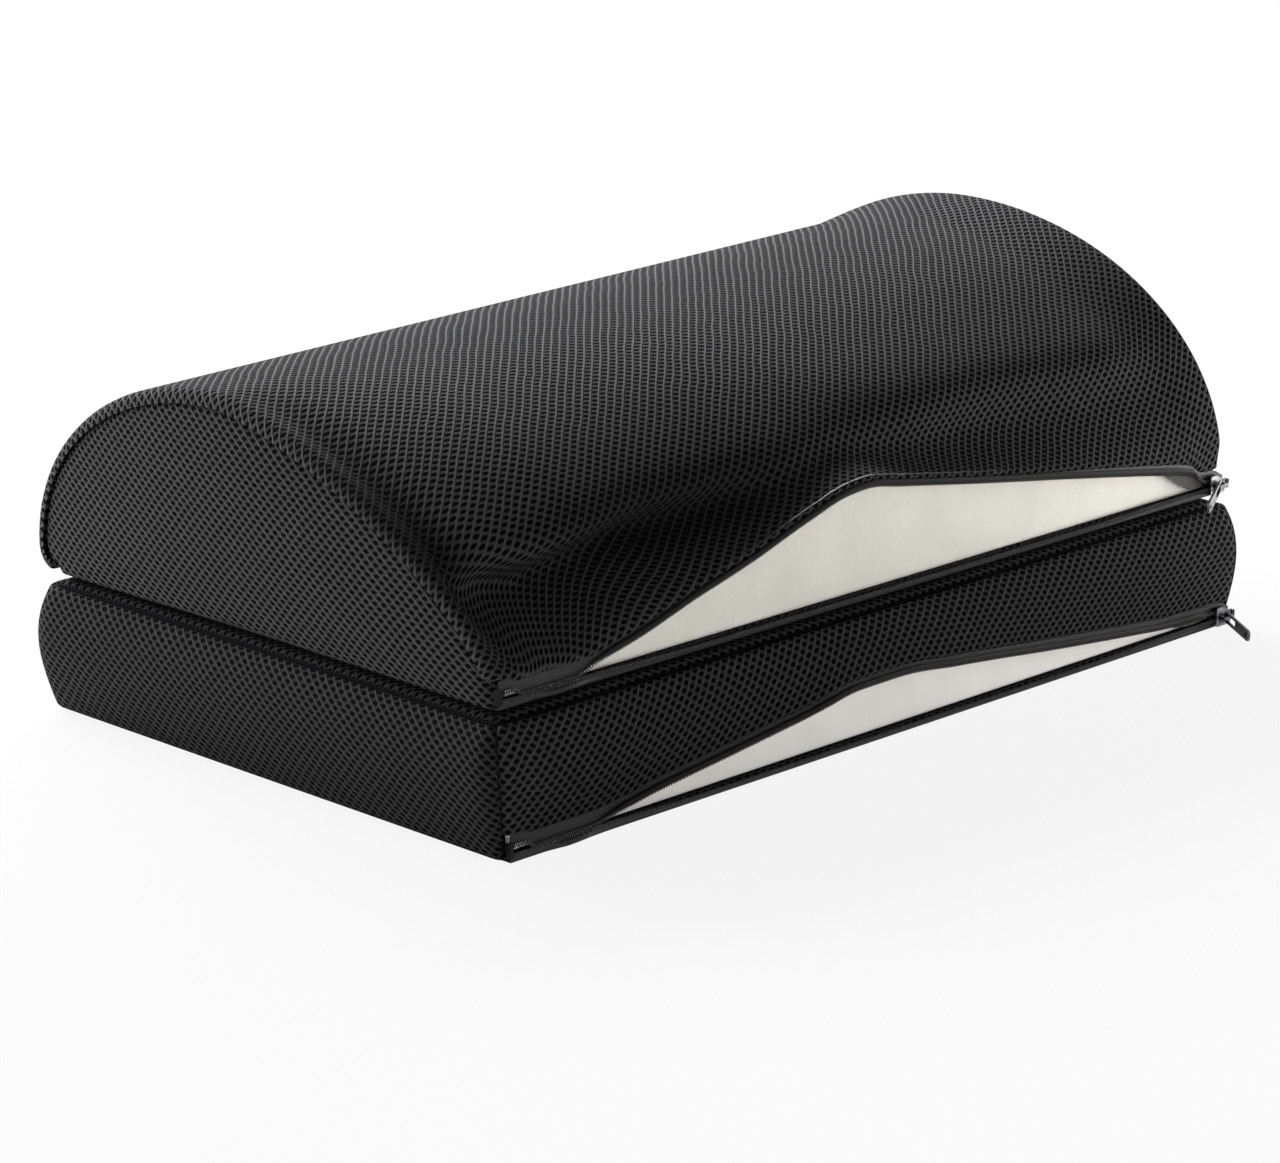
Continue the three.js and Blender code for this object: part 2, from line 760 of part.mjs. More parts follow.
function zipSlider() {
  const front = -sliderLength / 2;
  const rear = sliderLength / 2;
  const frontWing = standing(wingShape(), wingGap, wingGap + wingThickness);
  const backWing = standing(wingShape(), -wingThickness - runningClearance, -runningClearance);
  const divider = new THREE.Shape();
  const dividerLow = toothRise - toothGap / 2 + runningClearance;
  const dividerFront = front + flangeInset;
  const dividerRear = dividerFront + dividerLength;
  const nose = dividerWidth / 2;
  divider.moveTo(dividerFront, dividerLow + nose);
  divider.lineTo(dividerFront + nose, dividerLow);
  divider.lineTo(dividerRear - nose, dividerLow);
  divider.lineTo(dividerRear, dividerLow + nose);
  divider.lineTo(dividerRear - nose, dividerLow + dividerWidth);
  divider.lineTo(dividerFront + nose, dividerLow + dividerWidth);
  const post = standing(divider, -runningClearance - wingThickness / 2, wingGap + wingThickness / 2);
  const flangeEnd = wingGap + wingThickness / 2;
  const lowFlange = box(
    [front + flangeInset, rear - flangeInset],
    [-flangeEnd, -coilBack],
    [sliderBottom, sliderBottom + flangeThickness],
  );
  const wideEnd = front + sliderLength * wideShare;
  const highFlange = new THREE.Shape([
    new THREE.Vector2(front + flangeInset, sliderTop - flangeThickness),
    new THREE.Vector2(wideEnd, sliderTop - flangeThickness),
    new THREE.Vector2(rear - flangeInset, rearTop - flangeThickness),
    new THREE.Vector2(rear - flangeInset, rearTop),
    new THREE.Vector2(wideEnd, sliderTop),
    new THREE.Vector2(front + flangeInset, sliderTop),
  ]);
  const bridgeFloor = wingGap + wingThickness;
  const bridgeGap = pullThickness + 2 * pullBarClearance;
  const bridgeOuter = bridgeGap + bridgeThickness;
  const half = bridgeSpan / 2;
  const root = -wingThickness / 2;
  const arch = new THREE.Shape();
  arch.moveTo(-half, root);
  arch.lineTo(-half, bridgeOuter - bridgeCorner);
  arch.quadraticCurveTo(-half, bridgeOuter, -half + bridgeCorner, bridgeOuter);
  arch.lineTo(half - bridgeCorner, bridgeOuter);
  arch.quadraticCurveTo(half, bridgeOuter, half, bridgeOuter - bridgeCorner);
  arch.lineTo(half, root);
  arch.lineTo(half - bridgeThickness, root);
  arch.lineTo(half - bridgeThickness, bridgeGap);
  arch.lineTo(-half + bridgeThickness, bridgeGap);
  arch.lineTo(-half + bridgeThickness, root);
  const bridge = new THREE.ExtrudeGeometry(arch, { depth: bridgeWidth, bevelEnabled: false, curveSegments: 3 });
  const lie = new THREE.Matrix4().makeBasis(
    new THREE.Vector3(1, 0, 0),
    new THREE.Vector3(0, -1, 0),
    new THREE.Vector3(0, 0, -1),
  );
  bridge.applyMatrix4(lie).translate(0, -bridgeFloor, sliderMiddle + bridgeWidth / 2);
  return joined([frontWing, backWing, post, lowFlange, standing(highFlange, coilBack, flangeEnd), bridge]);
}

// The pull's end bar lies under the bridge and is its hinge; the tab points to -Y before it is turned
const pullHingeOut = wingGap + wingThickness + pullBarClearance + pullThickness / 2;

function zipPull() {
  const half = pullWidth / 2;
  const barEnd = -pullThickness / 2;
  const tip = pullLength + barEnd;
  const outline = new THREE.Shape();
  outline.moveTo(barEnd, -pullBarWidth / 2);
  outline.lineTo(barEnd + pullTaper, -half);
  outline.lineTo(tip - pullCorner, -half);
  outline.quadraticCurveTo(tip, -half, tip, -half + pullCorner);
  outline.lineTo(tip, half - pullCorner);
  outline.quadraticCurveTo(tip, half, tip - pullCorner, half);
  outline.lineTo(barEnd + pullTaper, half);
  outline.lineTo(barEnd, pullBarWidth / 2);
  const slot = (from, to, width) => {
    const hole = new THREE.Path();
    hole.moveTo(from, -width / 2);
    hole.lineTo(from, width / 2);
    hole.lineTo(to, width / 2);
    hole.lineTo(to, -width / 2);
    return hole;
  };
  outline.holes.push(slot(barEnd + pullThickness, barEnd + pullThickness + pullEyeLength, pullEyeWidth));
  outline.holes.push(slot(tip - pullTipMargin - pullTipHole, tip - pullTipMargin, pullTipHole));
  const tab = new THREE.ExtrudeGeometry(outline, {
    depth: pullThickness,
    bevelEnabled: false,
    curveSegments: 3,
  });
  const point = new THREE.Matrix4().makeBasis(
    new THREE.Vector3(0, -1, 0),
    new THREE.Vector3(0, 0, 1),
    new THREE.Vector3(-1, 0, 0),
  );
  return tab.applyMatrix4(point).translate(pullThickness / 2, 0, 0);
}

// Assembly
const group = new THREE.Group();

function addPart(parent, name, geometry, material) {
  const mesh = new THREE.Mesh(geometry, material.clone());
  mesh.name = name;
  parent.add(mesh);
  return mesh;
}

const base = new THREE.Group();
addPart(base, 'base_foam_core', baseFoamCore(), finishes.foam);
addPart(base, 'base_cover_bottom', baseBottomPanel(), finishes.mesh);
addPart(base, 'base_cover_top', flatPanel(planOutline(0), baseHeight - coverThickness), finishes.mesh);
addPart(base, 'base_cover_front', baseFrontPanel(), finishes.mesh);
for (const side of ['left', 'right', 'back']) {
  addPart(base, `base_cover_${side}`, baseSidePanel(side), finishes.endMesh);
}
group.add(base);

const upper = new THREE.Group();
addPart(upper, 'upper_foam_core', upperFoamCore(), finishes.foam);
addPart(upper, 'upper_cover_top', upperCoverTop(), finishes.mesh);
addPart(upper, 'upper_cover_bottom', upperCoverBottom(), finishes.mesh);
addPart(upper, 'upper_cover_left', upperEndPanel(-1), finishes.endMesh);
addPart(upper, 'upper_cover_right', upperEndPanel(1), finishes.endMesh);
group.add(upper);

const loopFloor = baseHeight + seamGap;
const hookFloor = loopFloor + stripThickness + seamGap;
for (const [place, sign] of [['front', -1], ['back', 1]]) {
  const y = (sign * stripSpacing) / 2;
  addPart(base, `loop_strip_${place}`, strip(y, loopFloor), finishes.hookLoop);
  addPart(upper, `hook_strip_${place}`, strip(y, hookFloor), finishes.hookLoop);
}

function addZip(parent, zip, droop, turn) {
  addPart(parent, `${zip.name}_tape_lower`, lowerTape(zip), finishes.tape);
  addPart(parent, `${zip.name}_tape_upper`, upperTape(zip), finishes.tape);
  addPart(parent, `${zip.name}_teeth_lower`, lowerTeeth(zip), finishes.nylon);
  addPart(parent, `${zip.name}_teeth_upper`, upperTeeth(zip), finishes.nylon);
  addPart(parent, `${zip.name}_stop_left`, endStop(zip, chainStartX, -1), finishes.metal);
  addPart(parent, `${zip.name}_stop_right`, endStop(zip, halfLength, 1), finishes.metal);
  const slider = addPart(parent, `${zip.name}_slider`, zipSlider(), finishes.metal);
  slider.position.set(sliderRestX, zip.plane, zip.level);
  const pull = addPart(parent, `${zip.name}_pull`, zipPull(), finishes.metal);
  pull.position.set(sliderRestX, zip.plane - pullHingeOut, zip.level + sliderMiddle);
  pull.rotation.set(degToRad(droop), 0, degToRad(turn), 'ZXY');
}

addZip(base, baseZip, basePullDroop, basePullTurn);
addZip(upper, upperZip, upperPullDroop, upperPullTurn);

export default group;
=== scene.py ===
# Two-part foam foot cushion: a half-round upper cushion on a rectangular base cushion, both in
# spacer mesh covers whose long front zips are open. Every shape below is in millimetres, in the
# frame's own axes: X along the cushion, the zips face -Y, Z is up.
import math
from functools import partial

import bpy
import numpy as np
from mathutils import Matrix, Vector


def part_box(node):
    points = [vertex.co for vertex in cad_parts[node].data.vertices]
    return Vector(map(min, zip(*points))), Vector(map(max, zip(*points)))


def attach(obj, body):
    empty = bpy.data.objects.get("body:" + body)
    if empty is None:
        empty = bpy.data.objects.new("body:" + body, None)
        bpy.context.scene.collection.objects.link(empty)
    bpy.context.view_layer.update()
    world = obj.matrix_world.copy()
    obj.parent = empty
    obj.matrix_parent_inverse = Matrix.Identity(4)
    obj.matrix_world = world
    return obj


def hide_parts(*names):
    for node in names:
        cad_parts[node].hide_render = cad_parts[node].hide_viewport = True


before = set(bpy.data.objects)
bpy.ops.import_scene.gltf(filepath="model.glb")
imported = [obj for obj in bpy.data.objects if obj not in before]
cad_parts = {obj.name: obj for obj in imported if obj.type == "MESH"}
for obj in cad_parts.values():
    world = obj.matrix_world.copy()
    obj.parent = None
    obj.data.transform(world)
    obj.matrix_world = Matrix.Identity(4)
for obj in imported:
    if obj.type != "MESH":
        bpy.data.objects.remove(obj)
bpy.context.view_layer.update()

millimetre = 0.001
rightAngle = math.pi / 2

print("frame loaded")


def boxOf(node):
    low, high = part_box(node)
    return np.array(low) / millimetre, np.array(high) / millimetre


def mix(a, b, share):
    return a + (b - a) * share


def clamp(value):
    return np.clip(value, 0.0, 1.0)


def smooth(share):
    share = clamp(share)
    return share * share * (3 - 2 * share)


def bump(at, middle, halfWidth):
    return np.exp(-(((at - middle) / halfWidth) ** 2))


# Coordinates brought to one shape and joined into points
def grid(*parts):
    return np.stack(np.broadcast_arrays(*parts), axis=-1)


# Distance of each point from the start of its line
def lengthAlong(points, axis=0):
    steps = np.linalg.norm(np.diff(points, axis=axis), axis=-1)
    start = np.zeros_like(steps.take([0], axis=axis))
    return np.concatenate([start, np.cumsum(steps, axis=axis)], axis=axis)


def unit(vectors):
    return vectors / np.maximum(np.linalg.norm(vectors, axis=-1, keepdims=True), 1e-9)


def valuesAt(at, place, values):
    return np.stack([np.interp(at, place, column) for column in values.T], axis=1)


# Smooth curve through (position, value) keys with no overshoot between them
def throughKeys(keys, at):
    place, value = np.array(keys, float).T
    span = np.diff(place)
    slope = np.diff(value) / span
    tangent = np.zeros(len(place))
    before, after = slope[:-1], slope[1:]
    sameWay = before * after > 0
    tangent[1:-1][sameWay] = 2 * before[sameWay] * after[sameWay] / (before + after)[sameWay]
    at = np.clip(at, place[0], place[-1])
    i = np.clip(np.searchsorted(place, at, side="right") - 1, 0, len(span) - 1)
    t = (at - place[i]) / span[i]
    rise = t * t * (3 - 2 * t)
    startPull = t * (1 - t) ** 2 * span[i] * tangent[i]
    endPull = t * t * (t - 1) * span[i] * tangent[i + 1]
    return value[i] * (1 - rise) + value[i + 1] * rise + startPull + endPull


# sRGB hex to the linear colour that a shader takes
def linearColour(hexCode):
    channels = [int(hexCode[i:i + 2], 16) / 255 for i in (1, 3, 5)]
    return (*[c / 12.92 if c <= 0.04045 else ((c + 0.055) / 1.055) ** 2.4 for c in channels], 1)


# Adds a node. Settings are its properties, and inputs are values, hex colours or outputs to link,
# by socket or in the sockets' order. It gives the output asked for, or with None the node itself.
def addNode(tree, kind, inputs=(), output=0, **settings):
    node = tree.nodes.new("ShaderNode" + kind)
    for name, value in settings.items():
        setattr(node, name, value)
    for socket, value in inputs.items() if isinstance(inputs, dict) else enumerate(inputs):
        if isinstance(value, bpy.types.NodeSocket):
            tree.links.new(value, node.inputs[socket])
        else:
            node.inputs[socket].default_value = linearColour(value) if isinstance(value, str) else value
    return node if output is None else node.outputs[output]


# Empties a material's or world's nodes, and gives the call that adds new ones there
def clearNodes(owner):
    owner.use_nodes = True
    owner.node_tree.nodes.clear()
    return partial(addNode, owner.node_tree)


# Spacer mesh: polyester yarn knitted into an open honeycomb face over a spacer layer. The eye gets
# dark cells in staggered rows, raised ribs along one diagonal of the cells, and hardly any sheen.
# The cells are drawn a little coarser than the knit, so that they show.
coverKnit = {
    "cellPitch": 4.85,            # along a row
    "rowStep": 2.4,               # from row to row, each moved by half a cell
    "cellWidth": 2.95,
    "cellHeight": 1.95,
    "cellRim": (0.78, 1.12),      # shares of a cell's half width between which the yarn rises
    "ribLean": -1,                # which diagonal of the rows the ribs follow
    "ribReach": (0.2, 0.04),      # foot and crown of a rib, by share of the way to the next
    "drift": 1.2,                 # how far the rows wander
    "driftScale": 0.045,          # waves in a millimetre
    "fibreScale": 2.4,
    "fibreShade": (0.72, 1.25),   # darkest and lightest yarn against its colour
    "yarn": "#2F2F30",
    # ribs drawn lighter than the yarn: a painted highlight on their raised crowns
    "ribYarn": "#3A3A3B",
    # cells drawn near black: partly the black inner layer, partly painted shade of their depth
    "cell": "#0A0A0A",
    "height": 0.8,
    "ribHeight": 0.4,             # share of that height by which the ribs rise
    "fibreHeight": 0.12,
    "roughness": 0.7,
    # darkened patches of cloth, painted shade in the hollow fold above the mouth and beside the left seam:
    # place and reach on the laid-out cloth
    "folds": [
        {"middle": (-115, 339), "reach": (118, 33), "dark": 0.34},
        {"middle": (-216, 290), "reach": (20, 100), "dark": 0.36},
    ],
}
# The end panels are cut across the same cloth, so their ribs run up at a slant. Their yarn is drawn darker
# than the cover's, as painted shade for the less lit ends
shadedEndKnit = dict(coverKnit, folds=[], cellPitch=4.87, rowStep=2.12, cellHeight=1.75, ribLean=1,
               yarn="#2A2A2B", ribYarn="#393939")
# The base's cloth is drawn darker than the upper cushion's: painted shade for the upper cushion's shade that
# it lies in
shadedBaseKnit = dict(coverKnit, folds=[], yarn="#2A2A2B", ribYarn="#353536")
shadedBaseEndKnit = dict(shadedEndKnit, yarn="#232324", ribYarn="#2F2F30")


def makeKnit(add, knit):
    uv = add("UVMap", uv_map="fabric")
    drift = add("TexNoise", {"Vector": uv, "Scale": knit["driftScale"], "Detail": 1.0}, 1,
                    noise_dimensions="2D")
    centred = add("VectorMath", (drift, (0.5, 0.5, 0.5)), operation="SUBTRACT")
    by = (knit["drift"], knit["drift"], 0)
    drifted = add("VectorMath", (centred, by, uv), operation="MULTIPLY_ADD")
    pitch, row = knit["cellPitch"], knit["rowStep"]
    toCell = (2 / knit["cellWidth"], 2 / knit["cellHeight"], 0)
    distances = []
    halfCell = (pitch / 2, row, 1)
    for shift in ((0, 0, 0), (pitch / 2, row, 0)):
        moved = add("VectorMath", (drifted, shift), operation="ADD")
        wrapped = add("VectorMath", (moved, halfCell, (-pitch / 2, -row, -1)), operation="WRAP")
        scaled = add("VectorMath", (wrapped, toCell), operation="MULTIPLY")
        distances.append(add("VectorMath", (scaled,), "Value", operation="LENGTH"))
    nearest = add("Math", distances, operation="MINIMUM")
    yarn = add("MapRange", (nearest, *knit["cellRim"]), interpolation_type="SMOOTHSTEP")
    diagonal = (1 / pitch, -knit["ribLean"] / (2 * row), 0)
    slanted = add("VectorMath", (drifted, diagonal), "Value", operation="DOT_PRODUCT")
    turned = add("Math", (slanted, 1.0, 0.0), operation="WRAP")
    offRib = add("Math", (turned, 0.5), operation="SUBTRACT")
    awayFromRib = add("Math", (offRib,), operation="ABSOLUTE")
    rib = add("MapRange", (awayFromRib, *knit["ribReach"]), interpolation_type="SMOOTHSTEP")
    fibre = add("TexNoise", {"Vector": uv, "Scale": knit["fibreScale"], "Detail": 3.0, "Roughness": 0.65},
                    noise_dimensions="2D")
    shade = add("MapRange", (fibre, 0.3, 0.7, *knit["fibreShade"]))
    # lighter rib colour: a painted highlight on the raised ribs
    cloth = add("Mix", {0: rib, 6: knit["yarn"], 7: knit["ribYarn"]}, 2, data_type="RGBA")
    cloth = add("Mix", {0: 1.0, 6: cloth, 7: shade}, 2, data_type="RGBA", blend_type="MULTIPLY")
    # painted shade: the cloth darkened in the fold and beside the left seam
    for fold in knit["folds"]:
        away = add("VectorMath", (uv, (*fold["middle"], 0)), operation="SUBTRACT")
        reach = (1 / fold["reach"][0], 1 / fold["reach"][1], 0)
        away = add("VectorMath", (away, reach), operation="MULTIPLY")
        away = add("VectorMath", (away,), "Value", operation="LENGTH")
        paintedFoldShade = add("MapRange", (away, 0.15, 1.0, fold["dark"], 1.0), interpolation_type="SMOOTHSTEP")
        cloth = add("Mix", {0: 1.0, 6: cloth, 7: paintedFoldShade}, 2, data_type="RGBA", blend_type="MULTIPLY")
    ribRise = add("Math", (rib, knit["ribHeight"], 1 - knit["ribHeight"]), operation="MULTIPLY_ADD")
    yarnHeight = add("Math", (yarn, ribRise), operation="MULTIPLY")
    height = add("Math", (fibre, knit["fibreHeight"], yarnHeight), operation="MULTIPLY_ADD")
    # the cells' near black between the yarn is partly painted shade
    return {"colours": (yarn, knit["cell"], cloth), "relief": (height, knit["height"], 1.0),
            "Roughness": knit["roughness"], "Specular IOR Level": 0.0, "Sheen Weight": 0.015,
            "Sheen Roughness": 0.3}


# Open-cell polyurethane foam, sliced from a block: matt, warm white, with a very fine grain over
# broad clouds of shade
foamBlock = {"colour": "#CAC7BF", "shade": "#BCB9B0", "grain": 0.9, "grainRise": 0.18, "cloud": 26.0,
             "grainShare": 1.8}       # weight of the grain against the clouds
# The base's block is lighter, which makes up for the shade that it lies in
baseFoamBlock = dict(foamBlock, colour="#F4F2EC", shade="#E8E5DE")


def makeFoam(add, foam):
    place = add("TexCoord", output="Object")
    grain = add("TexNoise", {"Vector": place, "Scale": 1 / (foam["grain"] * millimetre), "Detail": 4.0,
                                       "Roughness": 0.7})
    cloud = add("TexNoise", {"Vector": place, "Scale": 1 / (foam["cloud"] * millimetre), "Detail": 2.0})
    both = add("Math", (grain, foam["grainShare"], cloud), operation="MULTIPLY_ADD")
    share = add("MapRange", (both, 1.0, 1.8))
    return {"colours": (share, foam["shade"], foam["colour"]), "relief": (grain, foam["grainRise"], 0.6),
            "Roughness": 0.95, "Specular IOR Level": 0.15, "Sheen Weight": 0.15}


# Polyester tape, tightly woven: a fine slanted rib, its crowns drawn lighter as a painted sheen, with a little
# gloss.
# The thread spacing of the real tape, 0.4 mm, is drawn at 0.8 mm so that it shows.
zipTape = {"thread": 0.8, "yarn": "#111112", "crown": "#202021", "rise": 0.1, "roughness": 0.55,
           "gloss": 0.2, "fluffScale": 1.1}
# The same tape rolled over its coil or folded back is rubbed matt, and is drawn lighter: painted light for the
# more light that it catches
rolledEdge = dict(zipTape, thread=0.6, yarn="#1A1918", crown="#2A2826", rise=0.05, roughness=0.7,
                  gloss=0.05)
foldedTape = dict(zipTape, yarn="#2E2D2C", crown="#4A4947", roughness=0.7, gloss=0.1)
# Seam allowances of the cover, raw woven edges deep in the grooves, drawn near black: painted shade of the
# grooves
seamClothInShade = dict(zipTape, thread=1.1, yarn="#101011", crown="#18181A", roughness=0.9, gloss=0.0)


def makeWoven(add, cloth):
    uv = add("UVMap", uv_map="fabric")
    turns = 2 * math.pi / cloth["thread"]
    wound = add("VectorMath", (uv, (turns, turns / 2, 0)), operation="MULTIPLY")
    waves = add("VectorMath", (wound,), operation="SINE")
    # both waves are brought from -1..1 to 0..1 as they are joined
    split = add("SeparateXYZ", (waves,), None)
    across = add("Math", (split.outputs[1], 0.25, 0.5), operation="MULTIPLY_ADD")
    weave = add("Math", (split.outputs[0], 0.25, across), operation="MULTIPLY_ADD", use_clamp=True)
    fluff = add("TexNoise", {"Vector": uv, "Scale": cloth["fluffScale"], "Detail": 3.0}, noise_dimensions="2D")
    worn = add("Math", (weave, fluff), operation="MULTIPLY")
    share = add("MapRange", (worn, 0.1, 0.55))
    # the crowns' lighter colour is a painted sheen
    return {"colours": (share, cloth["yarn"], cloth["crown"]), "relief": (weave, cloth["rise"], 0.8),
            "Roughness": cloth["roughness"], "Specular IOR Level": cloth["gloss"]}


# Nylon monofilament, drawn and heat-set into a coil: smooth, so it gives small tight highlights
nylonCoil = {"colour": "#0E0E0F", "scuffed": "#1E1E20", "roughness": (0.42, 0.5), "scuffScale": 900.0}


def makeNylon(add, nylon):
    place = add("TexCoord", output="Object")
    scuff = add("TexNoise", {"Vector": place, "Scale": nylon["scuffScale"], "Detail": 2.0})
    share = add("MapRange", (scuff, 0.4, 0.75))
    gloss = add("MapRange", (scuff, 0.3, 0.8, *nylon["roughness"]))
    return {"colours": (share, nylon["colour"], nylon["scuffed"]), "Roughness": gloss, "IOR": 1.53}


# Zinc die casting with a black nickel plate: a dark mirror softened by tumbling, worn bright on edges
blackNickel = {"colour": "#18181A", "worn": "#7C7C7F", "roughness": 0.36, "grit": 0.5, "gritRise": 0.03,
               "edgeGrit": 0.06, "wearFrom": 0.555, "wearTo": 0.62}     # how far the edges are worn
# The stops are drawn darker and duller than the slider
darkerStop = dict(blackNickel, colour="#101011", worn="#1D1D1E", roughness=0.6)


def makePlatedZinc(add, metal):
    place = add("TexCoord", output="Object")
    grit = add("TexNoise", {"Vector": place, "Scale": 1 / (metal["grit"] * millimetre), "Detail": 3.0})
    edge = add("NewGeometry", output="Pointiness")
    brokenEdge = add("Math", (grit, metal["edgeGrit"], edge), operation="MULTIPLY_ADD")
    wear = add("MapRange", (brokenEdge, metal["wearFrom"], metal["wearTo"]))
    gloss = add("MapRange", (grit, 0.3, 0.7, metal["roughness"] - 0.06, metal["roughness"] + 0.1))
    return {"colours": (wear, metal["colour"], metal["worn"]), "relief": (grit, metal["gritRise"], 0.5),
            "Roughness": gloss, "Metallic": 1.0}


# Hook and loop tape, moulded hooks and brushed nylon loops: a dull dark nap of paler tips. Hooks
# stand in rows 1.6 mm apart, loops lie at random.
hookTape = {"dot": 1.6, "scatter": 0.35, "rise": 0.5, "ground": "#0B0B0C", "tip": "#2E2E30"}
loopTape = {"dot": 0.9, "scatter": 1.0, "rise": 0.35, "ground": "#0E0E0F", "tip": "#262628"}


def makeHookLoop(add, strip):
    uv = add("UVMap", uv_map="fabric")
    dots = add("TexVoronoi", {"Vector": uv, "Scale": 1 / strip["dot"], "Randomness": strip["scatter"]},
                   "Distance", voronoi_dimensions="2D")
    tip = add("MapRange", (dots, 0.5, 0.12), interpolation_type="SMOOTHSTEP")
    return {"colours": (tip, strip["ground"], strip["tip"]), "relief": (tip, strip["rise"], 1.0),
            "Roughness": 0.8, "Specular IOR Level": 0.05, "Sheen Weight": 0.01}


# Each finish: what makes it, its values, and the record's slot that it belongs to
finishes = {
    "spacerMeshCover": (makeKnit, coverKnit, "spacer_mesh"),
    "spacerMeshBase": (makeKnit, shadedBaseKnit, "spacer_mesh"),
    "spacerMeshBaseEnd": (makeKnit, shadedBaseEndKnit, "spacer_mesh"),
    "spacerMeshEndPanel": (makeKnit, shadedEndKnit, "spacer_mesh"),
    "slicedPolyurethaneFoam": (makeFoam, foamBlock, "foam"),
    "slicedPolyurethaneFoamBase": (makeFoam, baseFoamBlock, "foam"),
    "wovenPolyesterTape": (makeWoven, zipTape, "zip_tape"),
    "rolledTapeEdge": (makeWoven, rolledEdge, "zip_tape"),
    "foldedTapeEnd": (makeWoven, foldedTape, "zip_tape"),
    "foldedSeamAllowance": (makeWoven, seamClothInShade, "spacer_mesh"),
    "drawnNylonCoil": (makeNylon, nylonCoil, "zip_teeth"),
    "blackNickelOnZinc": (makePlatedZinc, blackNickel, "zip_metal"),
    "darkerZincStop": (makePlatedZinc, darkerStop, "zip_metal"),
    "mouldedHookTape": (makeHookLoop, hookTape, "hook_loop"),
    "brushedLoopTape": (makeHookLoop, loopTape, "hook_loop"),
}
materials = {}
for name, (make, values, _) in finishes.items():
    materials[name] = bpy.data.materials.new(name)
    add = clearNodes(materials[name])
    look = make(add, values)
    share, low, high = look.pop("colours")
    look["Base Color"] = add("Mix", {0: share, 6: low, 7: high}, 2, data_type="RGBA")
    if "relief" in look:          # the pattern's height, how far it rises in mm, and its strength
        height, rise, strength = look.pop("relief")
        look["Normal"] = add("Bump", {"Height": height, "Distance": rise * millimetre,
                                      "Strength": strength})
    add("OutputMaterial", {"Surface": add("BsdfPrincipled", look)}, None)
print("materials made")


# Stations along a side of a panel, closer together where its edges roll over
def stations(length, step, startRoll=0.0, endRoll=0.0, rollSteps=5):
    arc = 1 - np.cos(np.linspace(0, rightAngle, rollSteps + 1))
    start = startRoll * arc if startRoll else np.zeros(1)
    end = length - (endRoll * arc if endRoll else np.zeros(1))[::-1]
    count = max(2, round((end[0] - start[-1]) / step))
    middle = np.linspace(start[-1], end[0], count + 1)[1:-1]
    return np.concatenate([start, middle, end])


# How far a rolled edge has turned in, by distance from it
def rollDepth(distance, radius):
    near = np.clip(radius - distance, 0, radius)
    return radius - np.sqrt(radius ** 2 - near ** 2)


# How much longer the cloth is than that distance, measured over the roll
def overRoll(distance, radius):
    near = np.clip(radius - distance, 0, radius)
    return distance + near - radius * np.arcsin(near / radius) - distance


def volumeOf(points, quads):
    a, b, c, d = (points[quads[:, i]] for i in range(4))
    return np.sum(a * np.cross(b, c)) + np.sum(a * np.cross(c, d))


def buildMesh(name, points, quads, uv, finish, body, sharpAngle=50):
    if volumeOf(points, quads) < 0:
        quads = quads[:, ::-1]
    mesh = bpy.data.meshes.new(name)
    mesh.from_pydata((points * millimetre).tolist(), [], quads.tolist())
    mesh.validate()
    layer = mesh.uv_layers.new(name="fabric")
    corner = np.zeros(len(mesh.loops), int)
    mesh.loops.foreach_get("vertex_index", corner)
    layer.data.foreach_set("uv", uv[corner].ravel())
    mesh.polygons.foreach_set("use_smooth", np.ones(len(mesh.polygons), bool))
    mesh.set_sharp_from_angle(angle=math.radians(sharpAngle))
    mesh.materials.append(materials[finish])
    mesh.update()
    piece = bpy.data.objects.new(name, mesh)
    bpy.context.scene.collection.objects.link(piece)
    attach(piece, body)
    return piece


# Hides the frame's solid that a piece stands for
def standFor(node):
    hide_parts(node)


# Closed solid between two facing grids
def shellPiece(name, outer, inner, uv, finish, body):
    rows, columns = outer.shape[:2]
    offset = rows * columns
    i, j = np.meshgrid(np.arange(rows - 1), np.arange(columns - 1), indexing="ij")
    a = (i * columns + j).ravel()
    front = np.stack([a, a + 1, a + columns + 1, a + columns], axis=1)
    j = np.arange(columns - 1)
    i = np.arange(rows - 1) * columns
    last = (rows - 1) * columns + j
    walls = [
        np.stack([j, j + offset, j + 1 + offset, j + 1], axis=1),
        np.stack([last, last + 1, last + 1 + offset, last + offset], axis=1),
        np.stack([i, i + columns, i + columns + offset, i + offset], axis=1),
        np.stack([i, i + offset, i + columns + offset, i + columns], axis=1) + columns - 1,
    ]
    points = np.concatenate([outer.reshape(-1, 3), inner.reshape(-1, 3)])
    quads = np.concatenate([front, front[:, ::-1] + offset, *walls])
    return buildMesh(name, points, quads, np.tile(uv.reshape(-1, 2), (2, 1)), finish, body)


seamThickness = 0.9               # cloth pressed flat at its seams


# A fabric panel with a wall of its own, whose four edges roll in to their seams. Distances and
# rolls are (start of rows, end of rows, start of columns, end of columns).
def fabricPanel(name, surface, distances, rolls, wall, uv, outward, finish, body):
    distances = np.broadcast_arrays(*distances)
    normal = unit(np.cross(np.gradient(surface, axis=0), np.gradient(surface, axis=1)))
    if np.sum(normal * outward) < 0:
        normal = -normal
    depth = np.sqrt(sum(rollDepth(d, r) ** 2 for d, r in zip(distances, rolls)))[..., None]
    nearest = np.minimum.reduce([d / r for d, r in zip(distances, rolls)])
    thickness = mix(seamThickness, wall, smooth(nearest))[..., None]
    outer = surface - normal * depth
    extra = [overRoll(d, r) for d, r in zip(distances, rolls)]
    sense = np.sign(uv[-1:, :, 0] - uv[:1, :, 0])
    uv = uv + grid((extra[0] - extra[1]) * sense, extra[2] - extra[3])
    return shellPiece(name, outer, outer - normal * thickness, uv, finish, body)


